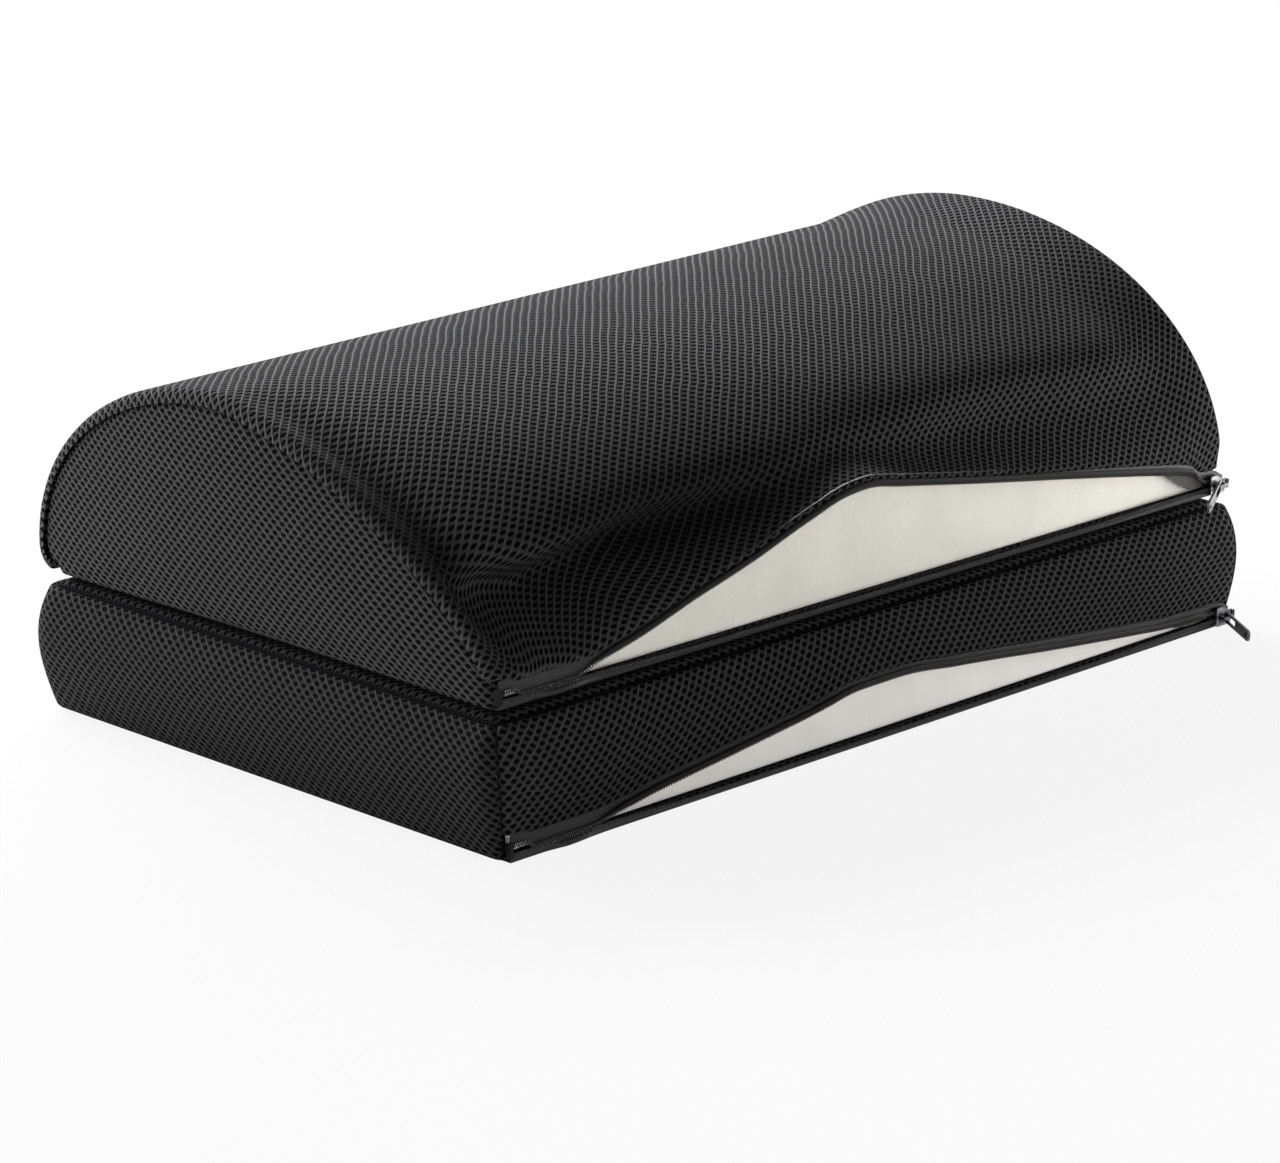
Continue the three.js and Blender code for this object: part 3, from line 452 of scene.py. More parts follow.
# Faces between rings of points
def ringQuads(rings, count):
    i, j = np.meshgrid(np.arange(rings - 1), np.arange(count), indexing="ij")
    a = (i * count + j).ravel()
    b = (i * count + (j + 1) % count).ravel()
    return np.stack([a, b, b + count, a + count], axis=1)


# Faces that close one ring on its middle point
def capQuads(first, count, middle):
    even = np.arange(0, count, 2)
    ring = [first + (even + k) % count for k in range(3)]
    return np.stack([np.full_like(even, middle), *ring], axis=1)


turnedOver = (0, 3, 2, 1)         # the corners of a face that looks the other way


# Solid through closed sections of the same number of points
def loftPiece(name, sections, uv, finish, body, sharpAngle=50):
    rows, count = sections.shape[:2]
    start = capQuads(0, count, rows * count)[:, turnedOver]
    end = capQuads((rows - 1) * count, count, rows * count + 1)
    quads = np.concatenate([ringQuads(rows, count), start, end])
    middles = sections[(0, -1), :].mean(axis=1)
    points = np.concatenate([sections.reshape(-1, 3), middles])
    flat = uv.reshape(-1, 2)
    flat = np.concatenate([flat, flat[:1], flat[-1:]])
    return buildMesh(name, points, quads, flat, finish, body, sharpAngle)


# Tube of one radius along a line, with its sides laid out from a line that it winds round
def tubePiece(name, path, centres, radius, sides, finish, body):
    tangent = unit(np.gradient(path, axis=0))
    outward = path - centres
    outward = unit(outward - tangent * np.sum(outward * tangent, axis=1, keepdims=True))
    across = np.cross(tangent, outward)
    angles = np.linspace(0, 2 * math.pi, sides, endpoint=False)
    ring = outward[:, None] * np.cos(angles)[:, None] + across[:, None] * np.sin(angles)[:, None]
    uv = grid(lengthAlong(path)[:, None], angles * radius)
    return loftPiece(name, path[:, None] + radius * ring, uv, finish, body, 80)


# Closed solid from rings that run from an outline in to a small middle, with a back of its own
def closedRings(name, outer, inner, uv, finish, body):
    rings, count = outer.shape[:2]
    offset = rings * count
    front = ringQuads(rings, count)
    k = np.arange(count)
    edge = np.stack([k, k + offset, (k + 1) % count + offset, (k + 1) % count], axis=1)
    cap = capQuads(offset - count, count, 2 * offset)[:, (1, 2, 3, 0)]
    backCap = capQuads(2 * offset - count, count, 2 * offset + 1)[:, turnedOver]
    middle = np.stack([outer[-1].mean(axis=0), inner[-1].mean(axis=0)])
    points = np.concatenate([outer.reshape(-1, 3), inner.reshape(-1, 3), middle])
    flat = np.concatenate([np.tile(uv.reshape(-1, 2), (2, 1)), np.tile(uv[-1].mean(axis=0), (2, 1))])
    quads = np.concatenate([front, front[:, ::-1] + offset, edge, cap, backCap])
    return buildMesh(name, points, quads, flat, finish, body)


# The outline with its points set at even distances
def evenRing(outline, count):
    closed = np.concatenate([outline, outline[:1]])
    place = lengthAlong(closed)
    return valuesAt(np.linspace(0, place[-1], count, endpoint=False), place, closed)


flatShape = {"ringPoints": 300, "rollReach": 2.5, "innerRings": 26, "smallest": 0.02}


# Flat fabric panel with rolled edges, face up or down
def flatPanel(name, node, outline, faceZ, wall, roll, faceUp, finish, body):
    outline = np.asarray(outline, float)
    centre = (outline.min(axis=0) + outline.max(axis=0)) / 2
    ring = evenRing(outline, flatShape["ringPoints"])
    half = np.ptp(outline, axis=0) / 2
    spine = half[0] - half[1]
    toward = ring - centre
    toward[:, 0] -= np.clip(toward[:, 0], -spine, spine)
    normal = toward / np.abs(toward).max(axis=1, keepdims=True)     # mitred at the corners
    insets = stations(roll * flatShape["rollReach"], roll, roll, 0)
    rings = [ring - normal * inset for inset in insets]
    shares = np.linspace(1, flatShape["smallest"], flatShape["innerRings"])[1:]
    rings += [centre + (rings[-1] - centre) * share for share in shares]
    distance = np.concatenate([insets, np.full(len(shares), roll * 9)])     # well past the roll
    points = np.stack(rings)
    sign = 1 if faceUp else -1
    z = faceZ - sign * rollDepth(distance, roll)
    back = np.where(distance > roll, faceZ - sign * wall, z - sign * seamThickness)
    outer = grid(points[..., 0], points[..., 1], z[:, None])
    inner = grid(points[..., 0], points[..., 1], back[:, None])
    past = (overRoll(distance, roll) * (distance <= roll))[:, None, None]
    panel = closedRings(name, outer, inner, points - normal[None] * past, finish, body)
    standFor(node)


# Measurements from the frame, and of the zips
coverLow, coverHigh = boxOf("upper_cover_top")
baseHigh = boxOf("base_cover_top")[1]
tapeThickness = 0.6
zipReach = 4.4                    # from the teeth to the cover's edge
chainRise = 4.5                   # the teeth above each cushion's floor
rimOffset = 1.8                   # from a tape's plane to the face of the cover sewn to it
halfLength, halfDepth, baseTop = coverHigh[0], baseHigh[1], baseHigh[2]
upperFloor = coverLow[2]
chainStart = boxOf("base_zip_teeth_lower")[0][0]
sliderRest = sum(corner[0] for corner in boxOf("base_zip_slider")) / 2
zipLevel = {"base": chainRise, "upper": upperFloor + chainRise}
zipPlane = {name: boxOf(f"{name}_zip_tape_lower")[0][1] + tapeThickness for name in ("base", "upper")}

# Rise of each lip above its lower teeth, by share of the open stretch, as the covers hang
openStretch = {
    "joinedLength": 43.0,
    "endBeforeSlider": 6.0,
    "base": [(0.06, 3.8), (0.09, 6.5), (0.19, 12.8), (0.29, 19.2), (0.38, 25.2), (0.44, 25.4), (0.53, 22),
             (0.71, 12.8), (0.82, 7.6), (0.86, 5.8), (0.92, 3.4)],
    "upper": [(0.03, 3.6), (0.09, 9.6), (0.17, 19.8), (0.25, 28.4), (0.33, 38.2), (0.39, 44.2), (0.42, 45),
              (0.47, 42), (0.6, 33.5), (0.78, 22.2), (0.9, 14), (0.97, 8.6)],
    "split": 2.5,                 # how far the rows stand apart inside a slider and at the start
    "openHeight": 20.0,
    "flare": {"base": 9.0, "upper": 3.0},     # how far each lip hangs out where it is widest open
    "sag": 1.3,                   # of the lower row, between these distances from the mouth's ends
    "sagFrom": 70,
    "sagTo": (90, 15),
    "stopLength": 11.5,           # from the left end to the slider's last place
}
openStart = -halfLength + openStretch["joinedLength"]
openEnd = sliderRest - openStretch["endBeforeSlider"]
sliderLimit = -halfLength + openStretch["stopLength"]


def riseKeys(name, atMeeting):
    split = openStretch["split"]
    keys = [(chainStart, split), (sliderLimit - 1, split), (sliderLimit + 3.5, atMeeting),
            (openStart, atMeeting)]
    keys += [(mix(openStart, openEnd, share), rise) for share, rise in openStretch[name]]
    return keys + [(openEnd, split), (sliderRest - 1, split), (sliderRest + 3.5, atMeeting)]


def teethRise(name, x):
    return throughKeys(riseKeys(name, 0.0), x)


def lipRise(name, x):
    return throughKeys(riseKeys(name, openStretch["split"] / 2), x) + zipReach


def lipOut(name, x):
    openness = clamp((teethRise(name, x) - openStretch["split"]) / openStretch["openHeight"])
    return openStretch["flare"][name] * openness


# How far the lower row sags between the ends of its mouth
def lowerSag(x):
    sag, (full, end) = openStretch["sag"], openStretch["sagTo"]
    return throughKeys([(openStart, 0), (openStart + openStretch["sagFrom"], sag), (openEnd - full, sag),
                        (openEnd - end, 0)], x)


upperShape = {
    # pairs are (left end, right end)
    "height": (96.5, 110.0),
    "crestBack": (24.5, 12.5),
    "humpHeight": 5.0,
    "humpLength": 45.0,
    "backOverhang": 7.4,
    "axisHeight": 12.0,
    "hemRadius": 10.0,
    # below 2 the front is flatter than an ellipse
    "frontPower": (1.42, 2.0),
    "frontPowerRun": 80.0,
    "frontPowerMiddle": {"more": 0.2, "at": 10, "half": 110},
    # hollow fold above the mouth, by place along the cushion: its depth, its height above the lip,
    # half its height, and its upper half's height over its lower half's
    "foldDepth": [(-224, 0), (-217, 7), (-207, 18), (-196, 27), (-175, 31), (-150, 29), (-115, 21), (-75, 16),
                  (-35, 13), (25, 12.5), (85, 11.5), (136, 7.5), (190, 3.5), (214, 0)],
    "foldRise": [(-225, 25), (-183, 24), (-142, 22), (-110, 17), (-79, 11), (-35, 4), (23, 7), (85, 14),
                 (136, 19), (189, 26), (225, 30)],
    "foldHalfHeight": [(-225, 15), (-180, 15), (-150, 13), (-79, 11), (-35, 9), (23, 9), (85, 12), (225, 16)],
    "foldAbove": [(-225, 0.9), (-180, 0.75), (-100, 0.75), (0, 1)],
    # the cover is drawn in beside the left end's seam
    "seamPull": {"by": 4.5, "at": -210.0, "half": 8.0, "fade": 0.6},
    # soft ridge over the fold at the right
    "ridgeOut": [(-75, 0), (-20, 4), (50, 8), (160, 7.5), (214, 0)],
    "ridgeAbove": 24.0,
    "ridgeHalfHeight": 13.0,
    "lipPower": 6,
    "arcPoints": 360,
    "hemPoints": 24,
    "wall": 2.6,
    "step": 2.5,
    "endRoll": 5.0,
    "lipRoll": 2.0,
    "hemRoll": 4.0,
    # right front corner drawn in beside the slider
    "cornerIn": {"by": 4.0, "length": 9, "height": 14},
    # left end of the lip raised where the closed zip's slider stops
    "sliderRoom": {"by": 1.0, "before": -203, "length": 6, "height": 12},
    "fill": 0.8,
}


def upperSection(x, angle):
    shape = upperShape
    x, angle = np.broadcast_arrays(x, angle)
    share = (x + halfLength) / (2 * halfLength)
    height = mix(*shape["height"], share)
    height = height + shape["humpHeight"] * smooth(1 - (halfLength - x) / shape["humpLength"])
    crestY = mix(*shape["crestBack"], share)
    front = np.cos(angle) < 0
    reach = np.where(front, crestY - (zipPlane["upper"] - rimOffset),
                     halfDepth + shape["backOverhang"] - crestY)
    middlePower = shape["frontPowerMiddle"]
    power = mix(*shape["frontPower"], smooth((x + halfLength) / shape["frontPowerRun"]))
    power = power + middlePower["more"] * bump(x, middlePower["at"], middlePower["half"])
    power = np.where(front, power, 2.0)
    side = np.abs(np.cos(angle)) ** (2 / power) * np.sign(np.cos(angle))
    up = np.maximum(np.sin(angle), 0) ** (2 / power)
    y = crestY + reach * side
    z = upperFloor + shape["axisHeight"] + (height - shape["axisHeight"]) * up
    aboveLip = z - zipLevel["upper"] - lipRise("upper", x)
    middle, reachBelow = throughKeys(shape["foldRise"], x), throughKeys(shape["foldHalfHeight"], x)
    reachAbove = reachBelow * throughKeys(shape["foldAbove"], x)
    foldReach = np.where(aboveLip > middle, reachAbove, reachBelow)
    hollow = throughKeys(shape["foldDepth"], x) * bump(aboveLip, middle, foldReach)
    pull = shape["seamPull"]
    drawnIn = pull["by"] * bump(x, pull["at"], pull["half"]) * smooth((angle - rightAngle) / pull["fade"])
    y = y + drawnIn * np.abs(np.cos(angle))
    z = z - drawnIn * np.maximum(np.sin(angle), 0)
    overFold = bump(aboveLip, middle + shape["ridgeAbove"], shape["ridgeHalfHeight"])
    ridge = throughKeys(shape["ridgeOut"], x) * overFold
    return grid(x, np.where(front, y + hollow - ridge, y), z)


# Angle at which each section has come down to its lip, found by halving
def lipAngle(x):
    wanted = zipLevel["upper"] + lipRise("upper", x)
    high = np.full_like(x, rightAngle)
    low = np.full_like(x, math.pi)
    for _ in range(30):
        middle = (high + low) / 2
        above = upperSection(x, middle)[..., 2] > wanted
        high = np.where(above, middle, high)
        low = np.where(above, low, middle)
    return (high + low) / 2


# The cover's section at each x, as fine lines from the back hem over the crest to the front lip
def coverSections(x):
    shape = upperShape
    lip = lipAngle(x)[:, None]
    angle = lip * np.linspace(0, 1, shape["arcPoints"])[None]
    arc = upperSection(x[:, None], angle)
    nearLip = clamp((angle - rightAngle) / (lip - rightAngle))
    lipPlace = zipPlane["upper"] - rimOffset - lipOut("upper", x)
    forward = arc[:, -1, 1] - lipPlace          # brings the lip out to its tape
    arc[..., 1] -= forward[:, None] * nearLip ** shape["lipPower"]
    turn = np.linspace(-rightAngle, 0, shape["hemPoints"])[:-1][None]
    hem = grid(x[:, None], arc[:, :1, 1] - shape["hemRadius"] * (1 - np.cos(turn)),
               arc[:, :1, 2] + shape["axisHeight"] * np.sin(turn))
    return np.concatenate([hem, arc], axis=1)


# Points at given shares of each section's own length, and those lengths
def resample(sections, shares):
    along = lengthAlong(sections, 1)
    points = [valuesAt(shares * place[-1], place, section) for section, place in zip(sections, along)]
    return np.stack(points), along[:, -1]


def makeUpperCover():
    shape = upperShape
    corner, room = shape["cornerIn"], shape["sliderRoom"]
    x = stations(2 * halfLength, shape["step"], shape["endRoll"], shape["endRoll"]) - halfLength
    sections = coverSections(x)
    length = float(lengthAlong(sections, 1)[:, -1].mean())
    shares = stations(length, shape["step"], shape["hemRoll"], shape["lipRoll"]) / length
    surface, total = resample(sections, shares)
    along = shares[None] * total[:, None]
    fromLip = (1 - shares)[None] * total[:, None]
    fromLeft, fromRight = (halfLength + x)[:, None], (halfLength - x)[:, None]
    byCorner = smooth(1 - fromRight / corner["length"])
    surface[..., 0] -= corner["by"] * byCorner * smooth(1 - fromLip / corner["height"])
    bySlider = smooth((room["before"] - x[:, None]) / room["length"])
    surface[..., 2] += room["by"] * bySlider * smooth(1 - fromLip / room["height"])
    outward = surface - np.array([0, 0, upperFloor])
    outward[..., 0] = 0
    rolls = (shape["endRoll"], shape["endRoll"], shape["hemRoll"], shape["lipRoll"])
    cover = fabricPanel("upper_cover_cloth", surface, (fromLeft, fromRight, along, fromLip), rolls,
                        shape["wall"], grid(x[:, None], along), outward, "spacerMeshCover", "upper")
    standFor("upper_cover_top")


makeUpperCover()
print("upper cover made")


# Line at a distance inside each section, kept behind the zip and above the floor
def insideSections(x, distance, floor, front, count):
    points, _ = resample(coverSections(x), np.linspace(0, 1, count))
    tangent = np.gradient(points, axis=1)
    inward = grid(0.0, -tangent[..., 2], tangent[..., 1])
    line = points + unit(inward) * distance
    line[..., 1] = np.maximum(line[..., 1], front)
    line[..., 2] = np.maximum(line[..., 2], floor)
    return line


endPanelShape = {
    "inset": 4.2,
    "behindZip": 1.4,
    "edgeX": 220.7,
    "rim": 3.0,                   # from the seam out to the panel's face
    "crown": 5.3,
    "crownPower": 2.6,
    "centreHeight": 0.45,         # share of the panel's height at which its crown sits
    "roll": 5.0,
    "step": 3.0,
    "smallest": 0.02,             # innermost ring against the outline
    "linePoints": 160,
    "ringPoints": 260,
    "wall": 2.6,
}
weaveLean = 0.19                  # the ends' cloth is cut at a slant


def makeUpperEndPanel(side, place):
    shape = endPanelShape
    front = zipPlane["upper"] + shape["behindZip"]
    at = np.array([side * shape["edgeX"]])
    line = insideSections(at, shape["inset"], upperFloor, front, shape["linePoints"])[0][:, 1:]
    down = np.linspace([front, line[-1][1]], [front, upperFloor], 12)[1:-1]
    across = np.linspace([front, upperFloor], [line[0][0], upperFloor], 80)[:-1]
    ring = evenRing(np.concatenate([line, down, across]), shape["ringPoints"])
    centre = np.array([0.0, mix(upperFloor, line[:, 1].max(), shape["centreHeight"])])
    reach = np.linalg.norm(ring - centre, axis=1)
    insets = stations(float(reach.min()), shape["step"], shape["roll"], 0)
    shares = 1 - insets / reach.min() * (1 - shape["smallest"])
    distance = (1 - shares)[:, None] * reach[None]
    points = centre + shares[:, None, None] * (ring - centre)[None]
    crown = shape["crown"] * (1 - shares ** shape["crownPower"])[:, None]
    x = side * (shape["edgeX"] + shape["rim"] + (crown - rollDepth(distance, shape["roll"])))
    outer = grid(x, points[..., 0], points[..., 1])
    inner = outer - np.array([side * shape["wall"], 0, 0])
    past = overRoll(distance, shape["roll"])
    laid = points - (ring - centre)[None] / reach[None, :, None] * past[..., None]
    uv = grid(laid[..., 0] - weaveLean * laid[..., 1], laid[..., 1])
    panel = closedRings(f"upper_end_{place}", outer, inner, uv, "spacerMeshEndPanel", "upper")
    standFor(f"upper_cover_{place}")


makeUpperEndPanel(-1, "left")
makeUpperEndPanel(1, "right")
print("upper end panels made")


foamShape = {
    "step": 5.0,
    "edge": 3.0,
    "cornerPoints": 6,
    "linePoints": 120,
    "upperInset": 4.6,
    "upperBehindZip": 1.6,
    "upperAboveFloor": 3.3,
    "upperEndGap": 6.5,
    "baseBehindZip": 1.9,
    "baseEdge": 2.0,
}


# Foam block through its sections at x, with the edges of its end faces rounded
def foamPiece(body, x, sections, finish):
    pull = sections - sections.mean(axis=1, keepdims=True)
    pull[..., 0] = 0
    sections = sections - unit(pull) * rollDepth(x[-1] - np.abs(x), foamShape["edge"])[:, None, None]
    foam = loftPiece(f"{body}_foam_block", sections, sections[..., (0, 2)], finish, body)
    standFor(f"{body}_foam_core")


def foamStations(reach):
    return stations(2 * reach, foamShape["step"], foamShape["edge"], foamShape["edge"], 4) - reach


def makeUpperFoam():
    shape = foamShape
    x = foamStations(halfLength - shape["upperEndGap"])
    floor = upperFloor + shape["upperAboveFloor"]
    front = zipPlane["upper"] + shape["upperBehindZip"]
    edge = shape["edge"]
    corner = np.linspace(0, rightAngle, shape["cornerPoints"])
    turned = np.stack([front + edge * (1 - np.cos(corner)), floor + edge * (1 - np.sin(corner))], axis=1)
    sections = []
    for row in insideSections(x, shape["upperInset"], floor, front, shape["linePoints"]):
        down = np.linspace([front, row[-1, 2]], [front, floor + edge], 24)[1:]
        under = np.linspace([front + edge, floor], [row[0, 1], floor], 41)[1:-1]
        flat = np.concatenate([row[:, 1:], down, turned[1:], under])
        sections.append(grid(row[0, 0], flat[:, 0], flat[:, 1]))
    foamPiece("upper", x, np.stack(sections), "slicedPolyurethaneFoam")


undersideShape = {"endGap": 6.6, "behindZip": 2.5, "roll": 2.5}


def makeUpperBottom():
    x = halfLength - undersideShape["endGap"]
    front = zipPlane["upper"] + undersideShape["behindZip"]
    low, high = boxOf("upper_cover_bottom")
    outline = [(-x, front), (x, front), (x, high[1]), (-x, high[1])]
    flatPanel("upper_underside_cloth", "upper_cover_bottom", outline, low[2], high[2] - low[2],
              undersideShape["roll"], False, "spacerMeshCover", "upper")


makeUpperFoam()
makeUpperBottom()
print("upper cushion made")


baseShape = {
    "frontCorner": 5.0,
    "backCorner": 8.0,
    "sideBulge": 8.0,
    "frontBulge": 6.0,
    "bulgeUp": 1.3,               # above 1 the sides are fuller towards the top
    "bulgeSquareness": 0.7,
    "footSpread": 3.0,            # how far the front stands out at its foot
    "spreadGap": 3.3,             # from the floor and the top to where that starts and ends
    "wall": 2.6,
    "step": 2.6,
    "frontSteps": (0.05, 0.06, 0.12),     # step, low roll and top roll, by share of the front's height
    "topRoll": 4.0,
    "floorRoll": 3.0,
    "cornerRoll": 3.0,
    "lipRoll": 2.0,
    "floorGap": 0.3,
    "topGap": 0.4,
    "flatInset": 3.4,             # top and bottom panels, inside the sides' outline
    "flatWall": 2.8,
    "topFlatRoll": 3.0,
    "bottomFlatRoll": 1.2,
    "tapeGap": 0.2,
    "seamRadius": 1.3,            # rolled seam allowances behind the grooves
    "seamDepth": 3.0,
    "seamFoot": 4.5,
    "fill": 0.85,
}


# Line in plan along one side, from the middle of one corner's arc to the middle of the next
def planSide(side):
    atFront, atBack = baseShape["frontCorner"], baseShape["backCorner"]
    radii = {"front": (atFront, atFront), "back": (atBack, atBack)}.get(side, (atFront, atBack))
    facing = np.array({"front": (0, -1), "back": (0, 1), "left": (-1, 0), "right": (1, 0)}[side], float)
    along = np.abs(facing[::-1])
    half, depth = (halfLength, halfDepth) if facing[0] == 0 else (halfDepth, halfLength)
    points, normals = [], []
    for sign, radius in zip((-1, 1), radii):
        centre = along * sign * (half - radius) + facing * (depth - radius)
        for degrees in np.linspace(0, 45, 10)[::sign]:
            angle = math.radians(degrees)
            normal = facing * math.cos(angle) + along * sign * math.sin(angle)
            points.append(centre + normal * radius)
            normals.append(normal)
    return np.array(points), np.array(normals)


# A side's bulge by share of its height
def bellied(share):
    return np.abs(np.sin(math.pi * share ** baseShape["bulgeUp"])) ** baseShape["bulgeSquareness"]


def footSpread(y, z):
    low, high = baseShape["spreadGap"], baseTop - baseShape["spreadGap"]
    return baseShape["footSpread"] * clamp(-y / halfDepth) * clamp((high - z) / (high - low))


# The side's line in plan at the panel's own stations: distances along it, points and normals
def sideLine(side):
    points, normals = planSide(side)
    place = lengthAlong(points)
    at = stations(place[-1], baseShape["step"], baseShape["cornerRoll"], baseShape["cornerRoll"])
    return at, valuesAt(at, place, points), unit(valuesAt(at, place, normals))


# One side of the base's cover, from its points' heights and how far they stand out
def makeBasePanel(side, atLine, z, outBy, fromLow, lowRoll, finish):
    shape = baseShape
    at, line, normal = atLine
    flat = line[:, None] + normal[:, None] * outBy[..., None]
    surface = grid(flat[..., 0], flat[..., 1] - footSpread(line[:, 1:], z), z)
    across = lengthAlong(surface)
    across = across - across[-1:] / 2
    if side == "front":
        fromLow = lengthAlong(surface, 1)
        uv = grid(-across, fromLow)
    else:
        uv = grid(across - weaveLean * fromLow, fromLow)
    distances = (at[:, None], at[-1] - at[:, None], fromLow, fromLow[:, -1:] - fromLow)
    rolls = (shape["cornerRoll"], shape["cornerRoll"], lowRoll, shape["topRoll"])
    panel = fabricPanel(f"base_{side}_cloth", surface, distances, rolls, shape["wall"], uv,
                        grid(normal[:, :1], normal[:, 1:], 0.0), finish, "base")
    standFor(f"base_cover_{side}")


def makeBaseSide(side):
    shape = baseShape
    low, high = shape["floorGap"], baseTop - shape["topGap"]
    up = stations(high - low, shape["step"], shape["floorRoll"], shape["topRoll"])
    bulge = shape["sideBulge"] * bellied(up / (high - low))
    makeBasePanel(side, sideLine(side), (low + up)[None], bulge[None], up[None], shape["floorRoll"],
                  "spacerMeshBaseEnd")


# The front hangs from the top down to the open lip
def makeBaseFront():
    shape = baseShape
    atLine = sideLine("front")
    x = atLine[1][:, 0]
    lipZ = zipLevel["base"] + lipRise("base", x)
    high = baseTop - shape["topGap"]
    share = stations(1.0, *shape["frontSteps"])
    z = lipZ[:, None] + (high - lipZ)[:, None] * share[None]
    lipPlace = shape["footSpread"] + rimOffset + lipOut("base", x) - footSpread(-halfDepth, lipZ)
    outBy = shape["frontBulge"] * bellied(share) + lipPlace[:, None] * (1 - share)[None] ** 2
    makeBasePanel("front", atLine, z, outBy, None, shape["lipRoll"], "spacerMeshBase")


for side in ("left", "right", "back"):
    makeBaseSide(side)
makeBaseFront()


# All four sides' line in plan, drawn in, with its front part moved back by frontShift
def planOutline(inset, frontShift=0.0):
    loops = []
    for side, order in (("front", 1), ("right", 1), ("back", -1), ("left", -1)):
        points, normals = planSide(side)
        loops.append((points - normals * inset)[::order])
    outline = np.concatenate(loops)
    outline = outline[np.linalg.norm(np.diff(outline, axis=0, append=outline[:1]), axis=1) > 1e-6]
    outline[:, 1] = np.where(outline[:, 1] < 0, outline[:, 1] + frontShift, outline[:, 1])
    return outline


# The bottom panel starts behind the zip's tape
def makeBaseFlats():
    shape = baseShape
    behindTape = zipPlane["base"] + shape["tapeGap"] + halfDepth - shape["flatInset"]
    for place, shift, z in (("top", 0.0, baseTop), ("bottom", behindTape, 0.0)):
        flatPanel(f"base_{place}_cloth", f"base_cover_{place}", planOutline(shape["flatInset"], shift), z,
                  shape["flatWall"], shape[f"{place}FlatRoll"], place == "top", "spacerMeshBase", "base")


# Folded seam allowances, which close the grooves between the panels from inside; their near black is painted
# shade
def makeBaseSeams():
    depth, radius = baseShape["seamDepth"], baseShape["seamRadius"]
    loop = planOutline(depth)
    loop = np.concatenate([loop, loop[:1]])
    path = grid(loop[:, 0], loop[:, 1], baseTop - depth)
    seams = {"base_top_seam": (path, np.array([0, 0, 1.0]))}
    up = np.linspace(baseShape["seamFoot"], baseTop - depth, 16)
    for side in ("front", "back"):
        points, normals = planSide(side)
        for end in (0, -1):
            foot = points[end] - normals[end] * depth
            path = grid(foot[0], foot[1] - footSpread(points[end][1], up), up)
            place = "left" if foot[0] < 0 else "right"
            seams[f"base_seam_{side}_{place}"] = (path, np.array([*normals[end], 0]))
    for name, (path, outward) in seams.items():
        tubePiece(name, path, path - outward, radius, 8, "foldedSeamAllowance", "base")


def makeBaseFoam():
    low, high = boxOf("base_foam_core")
    front = zipPlane["base"] + foamShape["baseBehindZip"]
    edge = foamShape["baseEdge"]
    corner = np.linspace(0, rightAngle, foamShape["cornerPoints"])
    x = foamStations(high[0])
    inFront, behind, under, over = front + edge, high[1] - edge, low[2] + edge, high[2] - edge
    outline = []
    # centres of the section's corners in turn, each with the right angles at which its arc starts
    for y, z, start in ((inFront, under, 2), (behind, under, 3), (behind, over, 0), (inFront, over, 1)):
        turn = start * rightAngle + corner
        outline.append(np.stack([y + edge * np.cos(turn), z + edge * np.sin(turn)], axis=1))
    outline.append(grid(front, np.linspace(over, under, 16)[1:-1]))
    outline = np.concatenate(outline)
    sections = grid(x[:, None], outline[:, 0], outline[:, 1])
    foamPiece("base", x, sections, "slicedPolyurethaneFoamBase")


makeBaseFlats()
makeBaseSeams()
makeBaseFoam()
print("base cushion made")


zipShape = {
    "coilPitch": 1.2,
    "coilWire": 0.24,
    "coilReach": 1.05,            # half the height of a coil
    "coilDepth": 0.75,            # half its depth
    "coilBack": 0.9,              # from the tape's plane to the back of the coil
    "coilOverlap": 0.4,
    "coilEndGap": 0.6,
    "pointsPerTurn": 8,
    "edgeRadius": 1.15,           # tape rolled over the coil where a mouth hangs open
    "edgeForward": 0.5,
    "edgeRise": 0.75,
    "edgeFlatness": 0.8,
    "edgeStep": 2.0,
    "edgeGaps": (4, 3),           # from the mouth's ends to the rolled edge's
    "edgeTapers": (25, 12),
    "tapeStep": 2.4,
    "tapeEndGap": 0.4,
    "tapeFromTeeth": 0.7,
    "tapeOverLip": 0.6,
    "slack": {"by": 2.6, "from": 17, "to": 16, "runs": (12, 26)},     # lower tape bulging out at the left
    "endSlant": {"by": 2.4, "before": 5, "length": 4.6},      # right end of the upper tape
    "tapeEnd": {"base": (180, 210.5), "upper": (181, 210.5)},
    "tapeEndDrop": {"base": 3.5, "upper": 6.0},
    "tapeEndPoints": (15, 6),
    "tapeEndThickness": 0.5,
}


def makeCoil(name, row):
    shape = zipShape
    start, end = (corner[0] for corner in boxOf(f"{name}_zip_teeth_lower"))
    start, end = start + shape["coilEndGap"], end - shape["coilEndGap"]
    turns = (end - start) / shape["coilPitch"]
    turn = np.linspace(0, 2 * math.pi * turns, round(turns * shape["pointsPerTurn"]))
    x = start + shape["coilPitch"] * turn / (2 * math.pi)
    if row == "upper":
        sign, phase, rise, out = 1, math.pi, teethRise(name, x), lipOut(name, x)
    else:
        sign, phase, rise, out = -1, 0, -lowerSag(x), 0.0
    centreZ = zipLevel[name] + rise + sign * (shape["coilReach"] - shape["coilOverlap"])
    centreY = zipPlane[name] - out - shape["coilBack"] - shape["coilDepth"]
    across = (shape["coilDepth"] - shape["coilWire"]) * np.cos(turn + phase)
    up = (shape["coilReach"] - shape["coilWire"]) * np.sin(turn + phase)
    path = grid(x, centreY + across, centreZ + up)
    coil = tubePiece(f"{name}_coil_{row}", path, grid(x, centreY, centreZ), shape["coilWire"], 6,
                     "drawnNylonCoil", name)
    standFor(f"{name}_zip_teeth_{row}")


